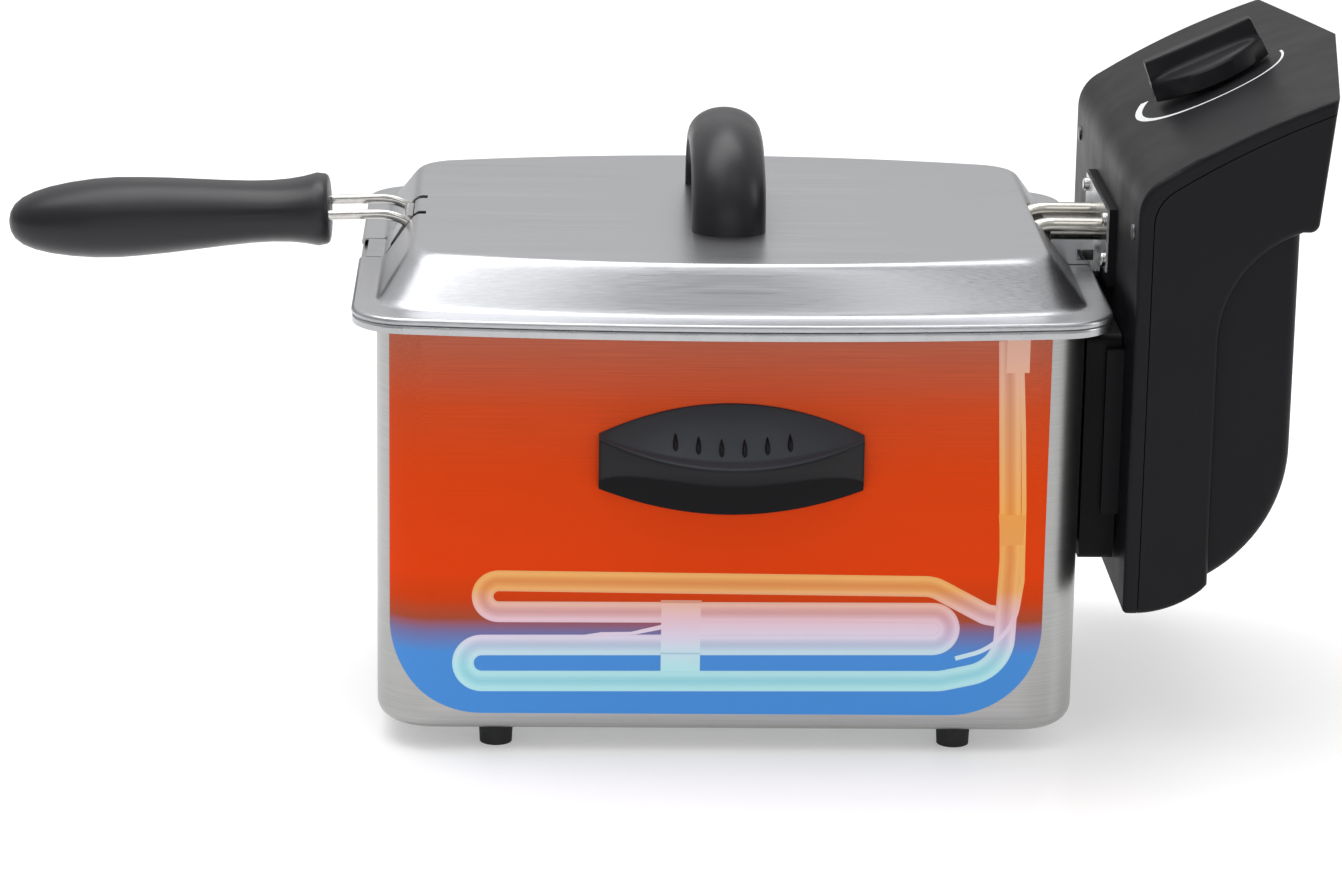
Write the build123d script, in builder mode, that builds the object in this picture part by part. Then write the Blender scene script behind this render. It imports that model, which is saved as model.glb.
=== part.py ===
"""Electric deep fryer: steel housing, lift-out oil tank, plug-in control head, basket and lid.

Millimetres, +Z up.  The table is at z = 0 and the housing's long side faces -Y.
The basket handle points to -X and the control head stands at the +X end.
"""
from build123d import *
import os

os.makedirs("parts", exist_ok=True)

# ---------------------------------------------------------------- driving sizes
housing_l = 290.0        # housing length along X
housing_w = 222.6        # housing width along Y
body_h = 175.4           # height of the housing's walls
corner_r = 24.0          # upright corners of the housing
bend_r = 8.0             # bend from wall to floor
sheet = 0.8              # housing and tank steel
return_w = 27.0          # floor flange left around the base opening
foot_h = 9.0
foot_r = 7.2
foot_in_x = 49.5         # foot centre from the housing's end
foot_in_y = 16.0         # foot centre from the housing's side
screw_r = 2.0            # M4 fasteners
screw_fit = 0.1          # clearance round a fastener

rim_over_l = 9.6         # tank rim beyond the housing at the ends
rim_over_w = 8.7         # tank rim beyond the housing at the corners' sides
rim_bow = 10.5           # how far the long sides of the rim bow out
rim_r = 24.0
bead_h = 3.6             # rolled edge of the tank
bead_w = 3.0
tank_gap_l = 13.0        # housing to tank mouth, ends
tank_gap_w = 11.3        # housing to tank mouth, sides
tank_draft = 6.0         # each wall leans in by this much at the floor
tank_r = 28.0
tank_floor_r = 14.0
tank_lift_off = 17.0     # tank floor above the housing floor

lid_t = 0.7
rest_gap = 0.1           # film of air between parts that rest on each other
tube_fit = 0.02          # clips and clamps hug the element tube
hole_fit = 0.05          # holes the tubes are swaged into
store_mouth_w = 152.0    # opening of the cord store
store_mouth_h = 66.0
store_mouth_r = 10.0
store_mouth_up = 96.0          # middle of the opening above the store's foot
store_bend = 56.0
flange_head_r = 2.9
flange_head_h = 1.9
shell_head_r = 3.3
shell_head_h = 1.0
lid_skirt = 2.7          # turned-down lid edge
dome_in_l = 10.1         # lid flange width at the ends
dome_in_w = 13.5         # lid flange width at the corners' sides
slope_l = 13.2           # run of the lid's end slopes
slope_w = 18.5           # run of the lid's side slopes
dome_h = 19.0
dome_bow = 17.0
dome_r = 9.0

basket_l = 231.0
basket_w = 176.0
basket_h = 108.0
basket_r = 30.0
basket_taper = 5.0
basket_wall = 1.4
basket_wire_r = 2.2
bracket_w = 32.8         # basket bracket width
bracket_t = 0.8
slit = 0.8               # gap each side between bracket and lid
wire_r = 2.1             # handle wires
wire_gap = 29.6          # between the handle wires' centres
grip_l = 139.0

tube_r = 4.0             # heating tube
leg_gap = 29.0           # between the two upright legs of the tube
element_rise = 24.0      # tube centre above the tank floor
flange_gap = 13.8        # flange plate from the housing's end
box_gap = 17.5           # control head from the housing's end
box_w = 224.0
box_d = 34.5             # depth of the head's lower half
box_low = 53.0           # underside of the head above the housing floor
box_shoulder = 221.5     # top of the upright front above the housing floor
head_d = 77.5            # depth of the head's top at its sides
head_ridge = 16.0        # how far the back stands out in the middle
box_wall = 2.5
seam_x = 6.3             # front shell's depth
seam_gap = 0.4
store_d = 32.3           # cord store depth
store_w = 212.0
knob_r = 25.5
knob_in = 43.5           # knob centre behind the head's front

handle_l = 108.0         # side handles
handle_h = 46.7
handle_out = 24.0
handle_z = 127.6         # middle height of the side handles
handle_screw_pitch = 0.55 * handle_l
handle_end_up = 0.22     # share of the handle's height above its middle, at the ends
handle_end_down = 0.27
handle_arch_up = 0.28    # what the arch adds at the middle
handle_arch_down = 0.23
handle_wall_out = 4.0    # lip off the wall at the ends
lip_drop = 1.5
dish_drop = 20.0
band_mid = 5.0           # height of the band under the lip
band_end = 9.0
finger_rise = 9.5
plate_out = 3.2          # back plate of the handle
loop_l = 114.0           # lid handle
loop_h = 41.0
loop_w = 31.0
loop_t = 14.5

# ---------------------------------------------------------------- worked-out places
half_l = housing_l / 2
half_w = housing_w / 2
housing_top = foot_h + body_h
tank_top = housing_top + sheet
tank_floor = foot_h + tank_lift_off
mouth_l = half_l - tank_gap_l
mouth_w = half_w - tank_gap_w
rim_l = half_l + rim_over_l
rim_w = half_w + rim_over_w
lid_top = tank_top + rest_gap + lid_skirt
dome_base_l = rim_l - dome_in_l
dome_base_w = rim_w - dome_in_w
dome_top_l = dome_base_l - slope_l
dome_top_w = dome_base_w - slope_w
crown = lid_top + dome_h
face_x = half_l + box_gap
plate_x = half_l + flange_gap
box_bottom = foot_h + box_low
shoulder = foot_h + box_shoulder
riser_x = mouth_l - tank_draft - tube_r - 3.0
element_z = tank_floor + element_rise
tube_over = tank_top + 17.8
pivot_x = -(dome_top_l + 2.2)
pivot_z = crown - 5.2
basket_left = -(mouth_l - sheet - 8.2)
basket_mid = basket_left + basket_l / 2
basket_floor = element_z + tube_r + 10.0
basket_top = basket_floor + basket_h
wire_z = pivot_z + 4.2
grip_end_x = pivot_x - 34.2
handle_reach = -(grip_end_x - grip_l)
box_reach = face_x + head_d + head_ridge
hx = (handle_reach - box_reach) / 2      # housing centre, so that the origin is mid-length


def level(z):
    """Horizontal plane at height z, measured from the housing's middle."""
    return Plane(origin=(hx, 0, z))


def long_section(y=0.0):
    """Upright X-Z plane; an extrusion from it goes towards -Y."""
    return Plane(origin=(hx, y, 0), x_dir=(1, 0, 0), z_dir=(0, -1, 0))


def cross_section(x):
    """Upright Y-Z plane; an extrusion from it goes towards +X."""
    return Plane(origin=(hx + x, 0, 0), x_dir=(0, 1, 0), z_dir=(1, 0, 0))


def rounded(length, width, radius):
    """Rectangle with rounded corners."""
    with BuildSketch() as outline:
        RectangleRounded(length, width, radius)
    return outline.sketch


def bowed(reach_l, reach_w, bow, radius):
    """Rectangle whose long sides bow outwards by bow."""
    with BuildSketch() as outline:
        with BuildLine():
            ThreePointArc((-reach_l, -reach_w), (0, -reach_w - bow), (reach_l, -reach_w))
            Line((reach_l, -reach_w), (reach_l, reach_w))
            ThreePointArc((reach_l, reach_w), (0, reach_w + bow), (-reach_l, reach_w))
            Line((-reach_l, reach_w), (-reach_l, -reach_w))
        make_face()
        fillet(outline.vertices(), radius)
    return outline.sketch


# ---------------------------------------------------------------- housing
with BuildPart() as housing_hollow:
    with BuildSketch(level(foot_h + sheet)):
        add(rounded(housing_l - 2 * sheet, housing_w - 2 * sheet, corner_r - sheet))
    extrude(amount=body_h)
    fillet(housing_hollow.faces().sort_by(Axis.Z)[0].edges(), bend_r - sheet)

with BuildPart() as housing_shell:
    with BuildSketch(level(foot_h)):
        add(rounded(housing_l, housing_w, corner_r))
    extrude(amount=body_h)
    fillet(housing_shell.faces().sort_by(Axis.Z)[0].edges(), bend_r)
    add(housing_hollow.part, mode=Mode.SUBTRACT)
    with BuildSketch(level(foot_h)):
        opening_l = housing_l - 2 * return_w
        opening_w = housing_w - 2 * return_w
        add(rounded(opening_l, opening_w, 10.0))
    extrude(amount=2 * sheet, mode=Mode.SUBTRACT)
    # holes for the feet
    with Locations((hx, 0, foot_h + sheet)):
        with GridLocations(housing_l - 2 * foot_in_x, housing_w - 2 * foot_in_y, 2, 2):
            Hole(screw_r + screw_fit, depth=2 * sheet)
    # holes for the side handles' screws, near and far
    with BuildSketch(long_section()):
        with Locations((0, handle_z)):
            with GridLocations(handle_screw_pitch, 1, 2, 1):
                Circle(screw_r + screw_fit)
    extrude(amount=housing_w, both=True, mode=Mode.SUBTRACT)
    # holes for the guide rail's screws
    with BuildSketch(cross_section(0)):
        with Locations((0, box_bottom + 62)):
            with GridLocations(100, 1, 2, 1):
                Circle(screw_r + screw_fit)
    extrude(amount=housing_l, mode=Mode.SUBTRACT)
housing_shell.part.label = "housing_shell"
export_step(housing_shell.part, "parts/housing_shell.step")

# floor plate that closes the housing from below, lying on its floor flange
plate_over = 14.0
plate_t = 1.0
plate_z = foot_h + sheet
with BuildPart() as base_plate:
    with BuildSketch(level(plate_z)):
        plate_l = opening_l + 2 * plate_over
        plate_w = opening_w + 2 * plate_over
        add(rounded(plate_l, plate_w, 16.0))
    extrude(amount=plate_t)
    with Locations((hx, 0, plate_z + plate_t)):
        with GridLocations(housing_l - 2 * foot_in_x, housing_w - 2 * foot_in_y, 2, 2):
            Hole(screw_r + screw_fit, depth=2 * plate_t)
    with BuildSketch(level(plate_z)):
        with GridLocations(18, 62, 9, 2):
            SlotOverall(40, 5, rotation=90)
    extrude(amount=plate_t, mode=Mode.SUBTRACT)
base_plate.part.label = "base_plate"
export_step(base_plate.part, "parts/base_plate.step")

# rubber feet with a pocket for the screw head
head_h = 2.4
head_r = 3.6
foot_pocket = 4.5
foot_screw_l = 11.0
with BuildPart() as rubber_feet:
    with Locations((hx, 0, 0)):
        with GridLocations(housing_l - 2 * foot_in_x, housing_w - 2 * foot_in_y, 2, 2):
            Cone(foot_r - 0.5, foot_r, foot_h, align=(Align.CENTER, Align.CENTER, Align.MIN))
            Cylinder(head_r + 0.4, foot_pocket, align=(Align.CENTER, Align.CENTER, Align.MIN), mode=Mode.SUBTRACT)
            Cylinder(screw_r + screw_fit, 3 * foot_h, mode=Mode.SUBTRACT)
rubber_feet.part.label = "rubber_feet"
export_step(rubber_feet.part, "parts/rubber_feet.step")

with BuildPart() as foot_screws:
    with Locations((hx, 0, foot_pocket - head_h)):
        with GridLocations(housing_l - 2 * foot_in_x, housing_w - 2 * foot_in_y, 2, 2):
            Cylinder(head_r, head_h, align=(Align.CENTER, Align.CENTER, Align.MIN))
            Cylinder(screw_r, foot_screw_l, align=(Align.CENTER, Align.CENTER, Align.MIN))
foot_screws.part.label = "foot_screws"
export_step(foot_screws.part, "parts/foot_screws.step")


# ---------------------------------------------------------------- side handles


def handle_section(share):
    """Y-Z outline of the side handle, share of the way from middle (0) to end (1)."""
    full = 1 - share**2
    top = handle_z + handle_h * (handle_end_up + handle_arch_up * full)
    low = handle_z - handle_h * (handle_end_down + handle_arch_down * full)
    lip_y = -(half_w + handle_wall_out + (handle_out - handle_wall_out) * full)
    lip_z = top - lip_drop - dish_drop * full
    band = band_mid + band_end * share**4
    under = lip_z - band + finger_rise * full - 0.5
    back = -(half_w + plate_out)
    return [
        (-half_w, top),
        (lip_y, lip_z),
        (lip_y + 0.8 * full, lip_z - band),
        (back, under),
        (back, low),
        (-half_w, low),
    ]


with BuildPart() as side_handle_near:
    for share in (-1.0, -0.8, -0.4, 0.0, 0.4, 0.8, 1.0):
        with BuildSketch(cross_section(share * handle_l / 2)):
            with BuildLine():
                Polyline(*handle_section(abs(share)), close=True)
            make_face()
    loft()
    with BuildSketch(long_section(-half_w)):
        with Locations((0, handle_z)):
            with GridLocations(handle_screw_pitch, 1, 2, 1):
                Circle(screw_r + screw_fit)
    extrude(amount=2.9, mode=Mode.SUBTRACT)
side_handle_near.part.label = "side_handle_near"
export_step(side_handle_near.part, "parts/side_handle_near.step")

side_handle_far = mirror(side_handle_near.part, about=Plane.XZ)
side_handle_far.label = "side_handle_far"
export_step(side_handle_far, "parts/side_handle_far.step")

with BuildPart() as side_handle_screws:
    with BuildSketch(long_section(-half_w + sheet)):
        with Locations((0, handle_z)):
            with GridLocations(handle_screw_pitch, 1, 2, 1):
                Circle(head_r)
    extrude(amount=-head_h)
    with BuildSketch(long_section(-half_w + sheet)):
        with Locations((0, handle_z)):
            with GridLocations(handle_screw_pitch, 1, 2, 1):
                Circle(screw_r)
    extrude(amount=sheet + 2.7)
    mirror(about=Plane.XZ)
side_handle_screws.part.label = "side_handle_screws"
export_step(side_handle_screws.part, "parts/side_handle_screws.step")

# printed film on the near wall, cut out round the handle
film_t = 0.3
film_left = 5.6 - half_l
film_right = half_l - 15.4  # bare steel left beside the guide rail
film_low = foot_h + 8.5
film_r = 38.0
with BuildPart() as front_graphic_film:
    with BuildSketch(level(film_low)):
        add(rounded(housing_l + 2 * film_t, housing_w + 2 * film_t, corner_r + film_t))
        add(rounded(housing_l, housing_w, corner_r), mode=Mode.SUBTRACT)
    extrude(amount=housing_top - bead_h - film_low)
    with BuildSketch(long_section()):
        with BuildLine():
            Line((film_left, housing_top), (film_right, housing_top))
            Line((film_right, housing_top), (film_right, film_low + film_r))
            RadiusArc((film_right, film_low + film_r), (film_right - film_r, film_low), film_r)
            Line((film_right - film_r, film_low), (film_left + film_r, film_low))
            RadiusArc((film_left + film_r, film_low), (film_left, film_low + film_r), film_r)
            Line((film_left, film_low + film_r), (film_left, housing_top))
        make_face()
    extrude(amount=housing_w, mode=Mode.INTERSECT)
    add(side_handle_near.part, mode=Mode.SUBTRACT)
    with BuildSketch(long_section()):
        with Locations((0, handle_z)):
            with GridLocations(handle_screw_pitch, 1, 2, 1):
                Circle(2 * screw_r)
    extrude(amount=housing_w, mode=Mode.SUBTRACT)
front_graphic_film.part.label = "front_graphic_film"
export_step(front_graphic_film.part, "parts/front_graphic_film.step")

# ---------------------------------------------------------------- guide rail on the housing's end
rail_low = box_bottom + 13.0
rail_h = 97.0
rail_half = 78.0
rail_stand = 2.5
rail_out = box_gap - 0.6
slot_half = 30.0
slot_step = 3.3          # depth of each step of the groove
tongue_fit = 0.4
with BuildPart() as guide_rail:
    with BuildSketch(cross_section(half_l)):
        with Locations((0, rail_low + rail_h / 2)):
            RectangleRounded(2 * rail_half - 14, rail_h - 10, 6)
    extrude(amount=rail_stand)
    with BuildSketch(cross_section(half_l + rail_stand)):
        with Locations((0, rail_low + rail_h / 2)):
            RectangleRounded(2 * rail_half, rail_h, 4)
    extrude(amount=rail_out - rail_stand)
    # groove for the control head's tongue, open at the top, wider behind than in front
    with BuildSketch(cross_section(half_l + rail_out)):
        with Locations((0, rail_low + rail_h / 2 + 14)):
            Rectangle(2 * (slot_half - 6), rail_h)
    extrude(amount=-slot_step, mode=Mode.SUBTRACT)
    with BuildSketch(cross_section(half_l + rail_out - slot_step)):
        with Locations((0, rail_low + rail_h / 2 + 14)):
            Rectangle(2 * slot_half, rail_h)
    extrude(amount=-slot_step, mode=Mode.SUBTRACT)
    with BuildSketch(cross_section(half_l)):
        with Locations((0, box_bottom + 62)):
            with GridLocations(100, 1, 2, 1):
                Circle(screw_r + screw_fit)
    extrude(amount=8.0, mode=Mode.SUBTRACT)
guide_rail.part.label = "guide_rail"
export_step(guide_rail.part, "parts/guide_rail.step")

with BuildPart() as guide_rail_screws:
    with BuildSketch(cross_section(half_l - sheet)):
        with Locations((0, box_bottom + 62)):
            with GridLocations(100, 1, 2, 1):
                Circle(head_r)
    extrude(amount=-head_h)
    with BuildSketch(cross_section(half_l - sheet)):
        with Locations((0, box_bottom + 62)):
            with GridLocations(100, 1, 2, 1):
                Circle(screw_r)
    extrude(amount=sheet + 7.5)
guide_rail_screws.part.label = "guide_rail_screws"
export_step(guide_rail_screws.part, "parts/guide_rail_screws.step")

# ---------------------------------------------------------------- oil tank
with BuildPart() as tank_hollow:
    with BuildSketch(level(tank_floor + sheet)):
        inner_l = mouth_l - tank_draft - sheet
        inner_w = mouth_w - tank_draft - sheet
        add(rounded(2 * inner_l, 2 * inner_w, tank_r - sheet))
    with BuildSketch(level(tank_top)):
        add(rounded(2 * (mouth_l - sheet), 2 * (mouth_w - sheet), tank_r - sheet))
    loft()
    fillet(tank_hollow.faces().sort_by(Axis.Z)[0].edges(), tank_floor_r - sheet)

with BuildPart() as oil_tank:
    with BuildSketch(level(tank_floor)):
        add(rounded(2 * (mouth_l - tank_draft), 2 * (mouth_w - tank_draft), tank_r))
    with BuildSketch(level(tank_top)):
        add(rounded(2 * mouth_l, 2 * mouth_w, tank_r))
    loft()
    fillet(oil_tank.faces().sort_by(Axis.Z)[0].edges(), tank_floor_r)
    with BuildSketch(level(housing_top)):
        add(bowed(rim_l, rim_w, rim_bow, rim_r))
    extrude(amount=sheet)
    with BuildSketch(level(tank_top - bead_h)):
        add(bowed(rim_l, rim_w, rim_bow, rim_r))
        add(bowed(rim_l - bead_w, rim_w - bead_w, rim_bow, rim_r - bead_w), mode=Mode.SUBTRACT)
    extrude(amount=bead_h)
    rolled = oil_tank.faces().sort_by(Axis.Z)[-1].outer_wire().edges()
    fillet(rolled, 1.4)
    add(tank_hollow.part, mode=Mode.SUBTRACT)
oil_tank.part.label = "oil_tank"
export_step(oil_tank.part, "parts/oil_tank.step")

# ---------------------------------------------------------------- heating element
leg_y = leg_gap / 2
run_y = mouth_w - tank_draft - 18.0      # outer runs of the tube
bay_y = run_y - 45.0                     # inner runs
turn_l = -(mouth_l - tank_draft - 20.0)  # left turns
turn_r = riser_x - 17.0                  # right turn of the inner runs
shoulder_x = riser_x - 19.0
bend_top = 20.0
bend_low = 12.0
bend_mid = 16.0


def bulb_path(y):
    """Capillary from the head over the rim and down to its sensing bulb."""
    return [
        (hx + face_x + 6, y, tube_over - 9),
        (hx + riser_x - 7, y, tube_over - 9),
        (hx + riser_x - 7, y, element_z + 6),
        (hx + 45, y, element_z + 6),
    ]


tube_points = [
    (hx + face_x + 9, leg_y, tube_over),
    (hx + riser_x, leg_y, tube_over),
    (hx + riser_x, leg_y, element_z),
    (hx + shoulder_x, run_y, element_z),
    (hx + turn_l, run_y, element_z),
    (hx + turn_l, bay_y, element_z),
    (hx + turn_r, bay_y, element_z),
    (hx + turn_r, -bay_y, element_z),
    (hx + turn_l, -bay_y, element_z),
    (hx + turn_l, -run_y, element_z),
    (hx + shoulder_x, -run_y, element_z),
    (hx + riser_x, -leg_y, element_z),
    (hx + riser_x, -leg_y, tube_over),
    (hx + face_x + 9, -leg_y, tube_over),
]
turn_outer = (run_y - bay_y) / 2 - 0.2
turn_inner = bay_y - 0.2
tube_radii = [
    bend_top, bend_low, bend_mid, turn_outer, turn_outer, turn_inner,
    turn_inner, turn_outer, turn_outer, bend_mid, bend_low, bend_top,
]
with BuildPart() as heating_element:
    with BuildLine() as tube_line:
        FilletPolyline(*tube_points, radius=tube_radii)
    with BuildSketch(tube_line.line ^ 0):
        Circle(tube_r)
    sweep()
heating_element.part.label = "heating_element"
export_step(heating_element.part, "parts/heating_element.step")

# strips that tie the runs together, and clamps across the two legs
clip_t = 1.2
with BuildPart() as element_clips:
    for clip_x in (-12.0, min(55.0, turn_r - turn_inner - 12.0)):
        with BuildSketch(cross_section(clip_x)):
            with Locations((0, element_z)):
                Rectangle(2 * run_y + 2 * tube_r + 3, 3.0)
                with GridLocations(2 * run_y, 1, 2, 1):
                    Circle(tube_r + clip_t)
                with GridLocations(2 * bay_y, 1, 2, 1):
                    Circle(tube_r + clip_t)
                with GridLocations(2 * run_y, 1, 2, 1):
                    Circle(tube_r + tube_fit, mode=Mode.SUBTRACT)
                with GridLocations(2 * bay_y, 1, 2, 1):
                    Circle(tube_r + tube_fit, mode=Mode.SUBTRACT)
        extrude(amount=9.0)
element_clips.part.label = "element_clips"
export_step(element_clips.part, "parts/element_clips.step")

with BuildPart() as riser_clamps:
    for clamp_z in (element_z + 42.0, element_z + 108.0):
        with BuildSketch(level(clamp_z)):
            with Locations((riser_x, 0)):
                Rectangle(2.4, leg_gap)
                with GridLocations(1, leg_gap, 1, 2):
                    Circle(tube_r + clip_t)
                with GridLocations(1, leg_gap, 1, 2):
                    Circle(tube_r + tube_fit, mode=Mode.SUBTRACT)
        extrude(amount=12.0)
riser_clamps.part.label = "riser_clamps"
export_step(riser_clamps.part, "parts/riser_clamps.step")

# two sensing bulbs with their capillaries: thermostat and over-heat cut-out
bulb_r = 3.0
capillary_r = 1.1
bulb_y = 6.0
with BuildPart() as thermostat_bulb:
    with BuildLine() as capillary_line:
        FilletPolyline(*bulb_path(bulb_y), radius=[10, 8])
    with BuildSketch(capillary_line.line ^ 0):
        Circle(capillary_r)
    sweep()
    with BuildSketch(cross_section(-45)):
        with Locations((bulb_y, element_z + 6)):
            Circle(bulb_r)
    extrude(amount=90.0)
    fillet(thermostat_bulb.edges().filter_by(GeomType.CIRCLE).sort_by(Axis.X)[0], 2.4)
thermostat_bulb.part.label = "thermostat_bulb"
export_step(thermostat_bulb.part, "parts/thermostat_bulb.step")

limiter_bulb = mirror(thermostat_bulb.part, about=Plane.XZ)
limiter_bulb.label = "limiter_bulb"
export_step(limiter_bulb, "parts/limiter_bulb.step")

# sheet-metal bracket under the tubes that stands on the tank's rim
bracket_foot = tank_top + rest_gap
shelf_z = tube_over - tube_r - 0.1
shelf_t = 1.2
gusset_y = 20.9
gusset_back = mouth_l + 8.0
with BuildPart() as element_bracket:
    with BuildSketch(level(shelf_z - shelf_t)):
        with Locations(((gusset_back + plate_x) / 2 - 1.0, 0)):
            Rectangle(plate_x - gusset_back + 2.0, 2 * gusset_y)
    extrude(amount=shelf_t)
    with BuildSketch(long_section(-gusset_y)):
        with BuildLine():
            Polyline(
                (gusset_back + 3.0, bracket_foot), (plate_x, bracket_foot), (plate_x, shelf_z),
                (gusset_back - 2.0, shelf_z), (gusset_back - 2.0, shelf_z - 5.0), close=True,
            )
        make_face()
        with Locations((plate_x - 6.5, shelf_z - 6.6)):
            Rectangle(7.0, 4.6, mode=Mode.SUBTRACT)
    extrude(amount=-shelf_t)
    mirror(about=Plane.XZ)
element_bracket.part.label = "element_bracket"
export_step(element_bracket.part, "parts/element_bracket.step")

# steel plate that carries the tubes, on a black pad in front of the head
flange_half = 38.5
flange_low = tank_top + 3.8
flange_high = tube_over + 12.2
flange_t = 0.8
flange_mid = (flange_low + flange_high) / 2
flange_tall = flange_high - flange_low
flange_screw_y = flange_half - 4.5
with BuildPart() as element_flange:
    with BuildSketch(cross_section(plate_x)):
        with Locations((0, flange_mid)):
            Rectangle(2 * flange_half, flange_tall)
            with GridLocations(2 * flange_screw_y, flange_tall - 9, 2, 2):
                Circle(1.6, mode=Mode.SUBTRACT)
        with Locations((0, tube_over)):
            with GridLocations(leg_gap, 1, 2, 1):
                Circle(tube_r + hole_fit, mode=Mode.SUBTRACT)
        with Locations((0, tube_over - 9)):
            with GridLocations(2 * bulb_y, 1, 2, 1):
                Circle(capillary_r + hole_fit, mode=Mode.SUBTRACT)
    extrude(amount=flange_t)
element_flange.part.label = "element_flange"
export_step(element_flange.part, "parts/element_flange.step")

pad_x = plate_x + flange_t
window_half = 30.0
window_low = tube_over - 13.0
window_high = tube_over + 6.5
with BuildPart() as flange_pad:
    with BuildSketch(cross_section(pad_x)):
        with Locations((0, (flange_high + 1.2 + flange_low - 6.0) / 2)):
            Rectangle(2 * flange_half + 2.4, flange_tall + 7.2)
        with Locations((0, (window_low + window_high) / 2)):
            Rectangle(2 * window_half, window_high - window_low, mode=Mode.SUBTRACT)
        with Locations((0, flange_mid)):
            with GridLocations(2 * flange_screw_y, flange_tall - 9, 2, 2):
                Circle(1.6, mode=Mode.SUBTRACT)
    extrude(amount=face_x - pad_x)
    fillet(flange_pad.edges().filter_by(Axis.X).group_by(SortBy.DISTANCE)[-1], 1.0)
flange_pad.part.label = "flange_pad"
export_step(flange_pad.part, "parts/flange_pad.step")

with BuildPart() as flange_screws:
    with BuildSketch(cross_section(plate_x)):
        with Locations((0, flange_mid)):
            with GridLocations(2 * flange_screw_y, flange_tall - 9, 2, 2):
                Circle(flange_head_r)
    extrude(amount=-flange_head_h)
    fillet(flange_screws.faces().filter_by(Axis.X).group_by(Axis.X)[0].edges(), 1.0)
    with BuildSketch(cross_section(plate_x)):
        with Locations((0, flange_mid)):
            with GridLocations(2 * flange_screw_y, flange_tall - 9, 2, 2):
                Circle(1.5)
    extrude(amount=face_x + box_wall - plate_x)
flange_screws.part.label = "flange_screws"
export_step(flange_screws.part, "parts/flange_screws.step")

# ---------------------------------------------------------------- control head
top_front_z = shoulder + 8.6     # slope at the front face, before rounding
top_mid_x = face_x + knob_in
top_mid_z = shoulder + 33.7
top_far_x = face_x + head_d + head_ridge + 12.0
top_far_z = shoulder + 56.8
top_round = 17.0                 # rounding from front to slope
under_z = box_bottom + 161.4     # underside of the head above the cord store
recess_z = box_bottom + 118.0    # where the recess curve leaves the lower body
store_low = box_bottom + 13.8


def side_outline(inset, shift_x=0.0, shift_z=0.0):
    """X-Z outline of the control head, drawn in by inset and moved by the shifts."""
    x0 = face_x
    x1 = face_x + box_d
    x2 = face_x + store_d + box_d
    with BuildSketch() as outline:
        with BuildLine():
            Polyline((x1 - 2, box_bottom + 10.2), (x1, box_bottom + 12.5), (x1, recess_z))
            ThreePointArc(
                (x1, recess_z), (x1 + 9.2, under_z - 17.2), (x2, under_z)
            )
            Polyline((x2, under_z), (top_far_x, under_z), (top_far_x, top_far_z))
            ThreePointArc((top_far_x, top_far_z), (top_mid_x, top_mid_z), (x0, top_front_z))
            Line((x0, top_front_z), (x0, box_bottom))
            ThreePointArc((x0, box_bottom), (x0 + 20, box_bottom + 2.8), (x1 - 2, box_bottom + 10.2))
        make_face()
        top_corner = outline.vertices().filter_by(
            lambda v: abs(v.X - x0) < 0.01 and v.Y > shoulder
        )
        fillet(top_corner, top_round)
        low_corner = outline.vertices().filter_by(
            lambda v: abs(v.X - x0) < 0.01 and v.Y < shoulder - 50
        )
        fillet(low_corner, 2.0)
        if inset:
            offset(amount=-inset, kind=Kind.INTERSECTION, mode=Mode.REPLACE)
    return Pos(shift_x, shift_z, 0) * outline.sketch


def back_wedge(inset):
    """Leaning prism whose back stands out to a ridge in the middle."""
    with BuildPart() as wedge:
        for height, lean in ((box_bottom - 5, -22.0), (top_far_z + 20, 3.6)):
            near_x = face_x + head_d + lean - inset
            side_y = box_w / 2 + 1
            with BuildSketch(level(height)):
                with BuildLine():
                    Polyline(
                        (face_x - 5, -side_y), (near_x, -side_y), (near_x + head_ridge, 0),
                        (near_x, side_y), (face_x - 5, side_y), close=True,
                    )
                make_face()
        loft(ruled=True)
    return wedge.part


def head_body(inset):
    """Solid of the control head, every surface drawn in by inset."""
    with BuildPart() as body:
        with BuildSketch(long_section()):
            add(side_outline(inset))
        extrude(amount=box_w / 2 - inset, both=True)
        add(back_wedge(inset), mode=Mode.INTERSECT)
    return body.part


def softened(body):
    """The head with its long outer edges rounded: lower back corner, then both sides."""
    low_back = body.edges().filter_by(
        lambda e: abs(e.center().Z - under_z) < 0.5 and abs(abs(e.center().Y) - box_w / 4) < 1
    )
    body = fillet(low_back, 4.0)
    side_edges = body.edges().filter_by(lambda e: abs(abs(e.center().Y) - box_w / 2) < 0.01)
    return fillet(side_edges, box_wall)


def seam_zone(depth):
    """Everything deeper than depth behind the front and the sloping top."""
    drop = depth * (1 - 0.407) / 0.9135
    with BuildPart() as zone:
        with BuildSketch(long_section()):
            add(side_outline(0, depth, -drop))
        extrude(amount=box_w, both=True)
    return zone.part


head_outer = softened(head_body(0))
head_inner = head_body(box_wall)
knob_plane = Plane(
    origin=(hx + top_mid_x, 0, top_mid_z),
    x_dir=(0, 1, 0),
    z_dir=Vector(-0.4147, 0, 0.91),
)
shaft_r = 3.0
shaft_hole_r = 4.5
shell_screw_y = 0.43 * box_w
shell_screw_z = shoulder - 10.5
plunger_y = 40.0
plunger_z = box_bottom + 90.0
plunger_r = 2.0
gland_z = box_bottom + 98.0
gland_r = 6.0
reset_y = 62.0
reset_z = box_bottom + 92.0
button_r = 4.0
slide_fit = 0.05

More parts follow.
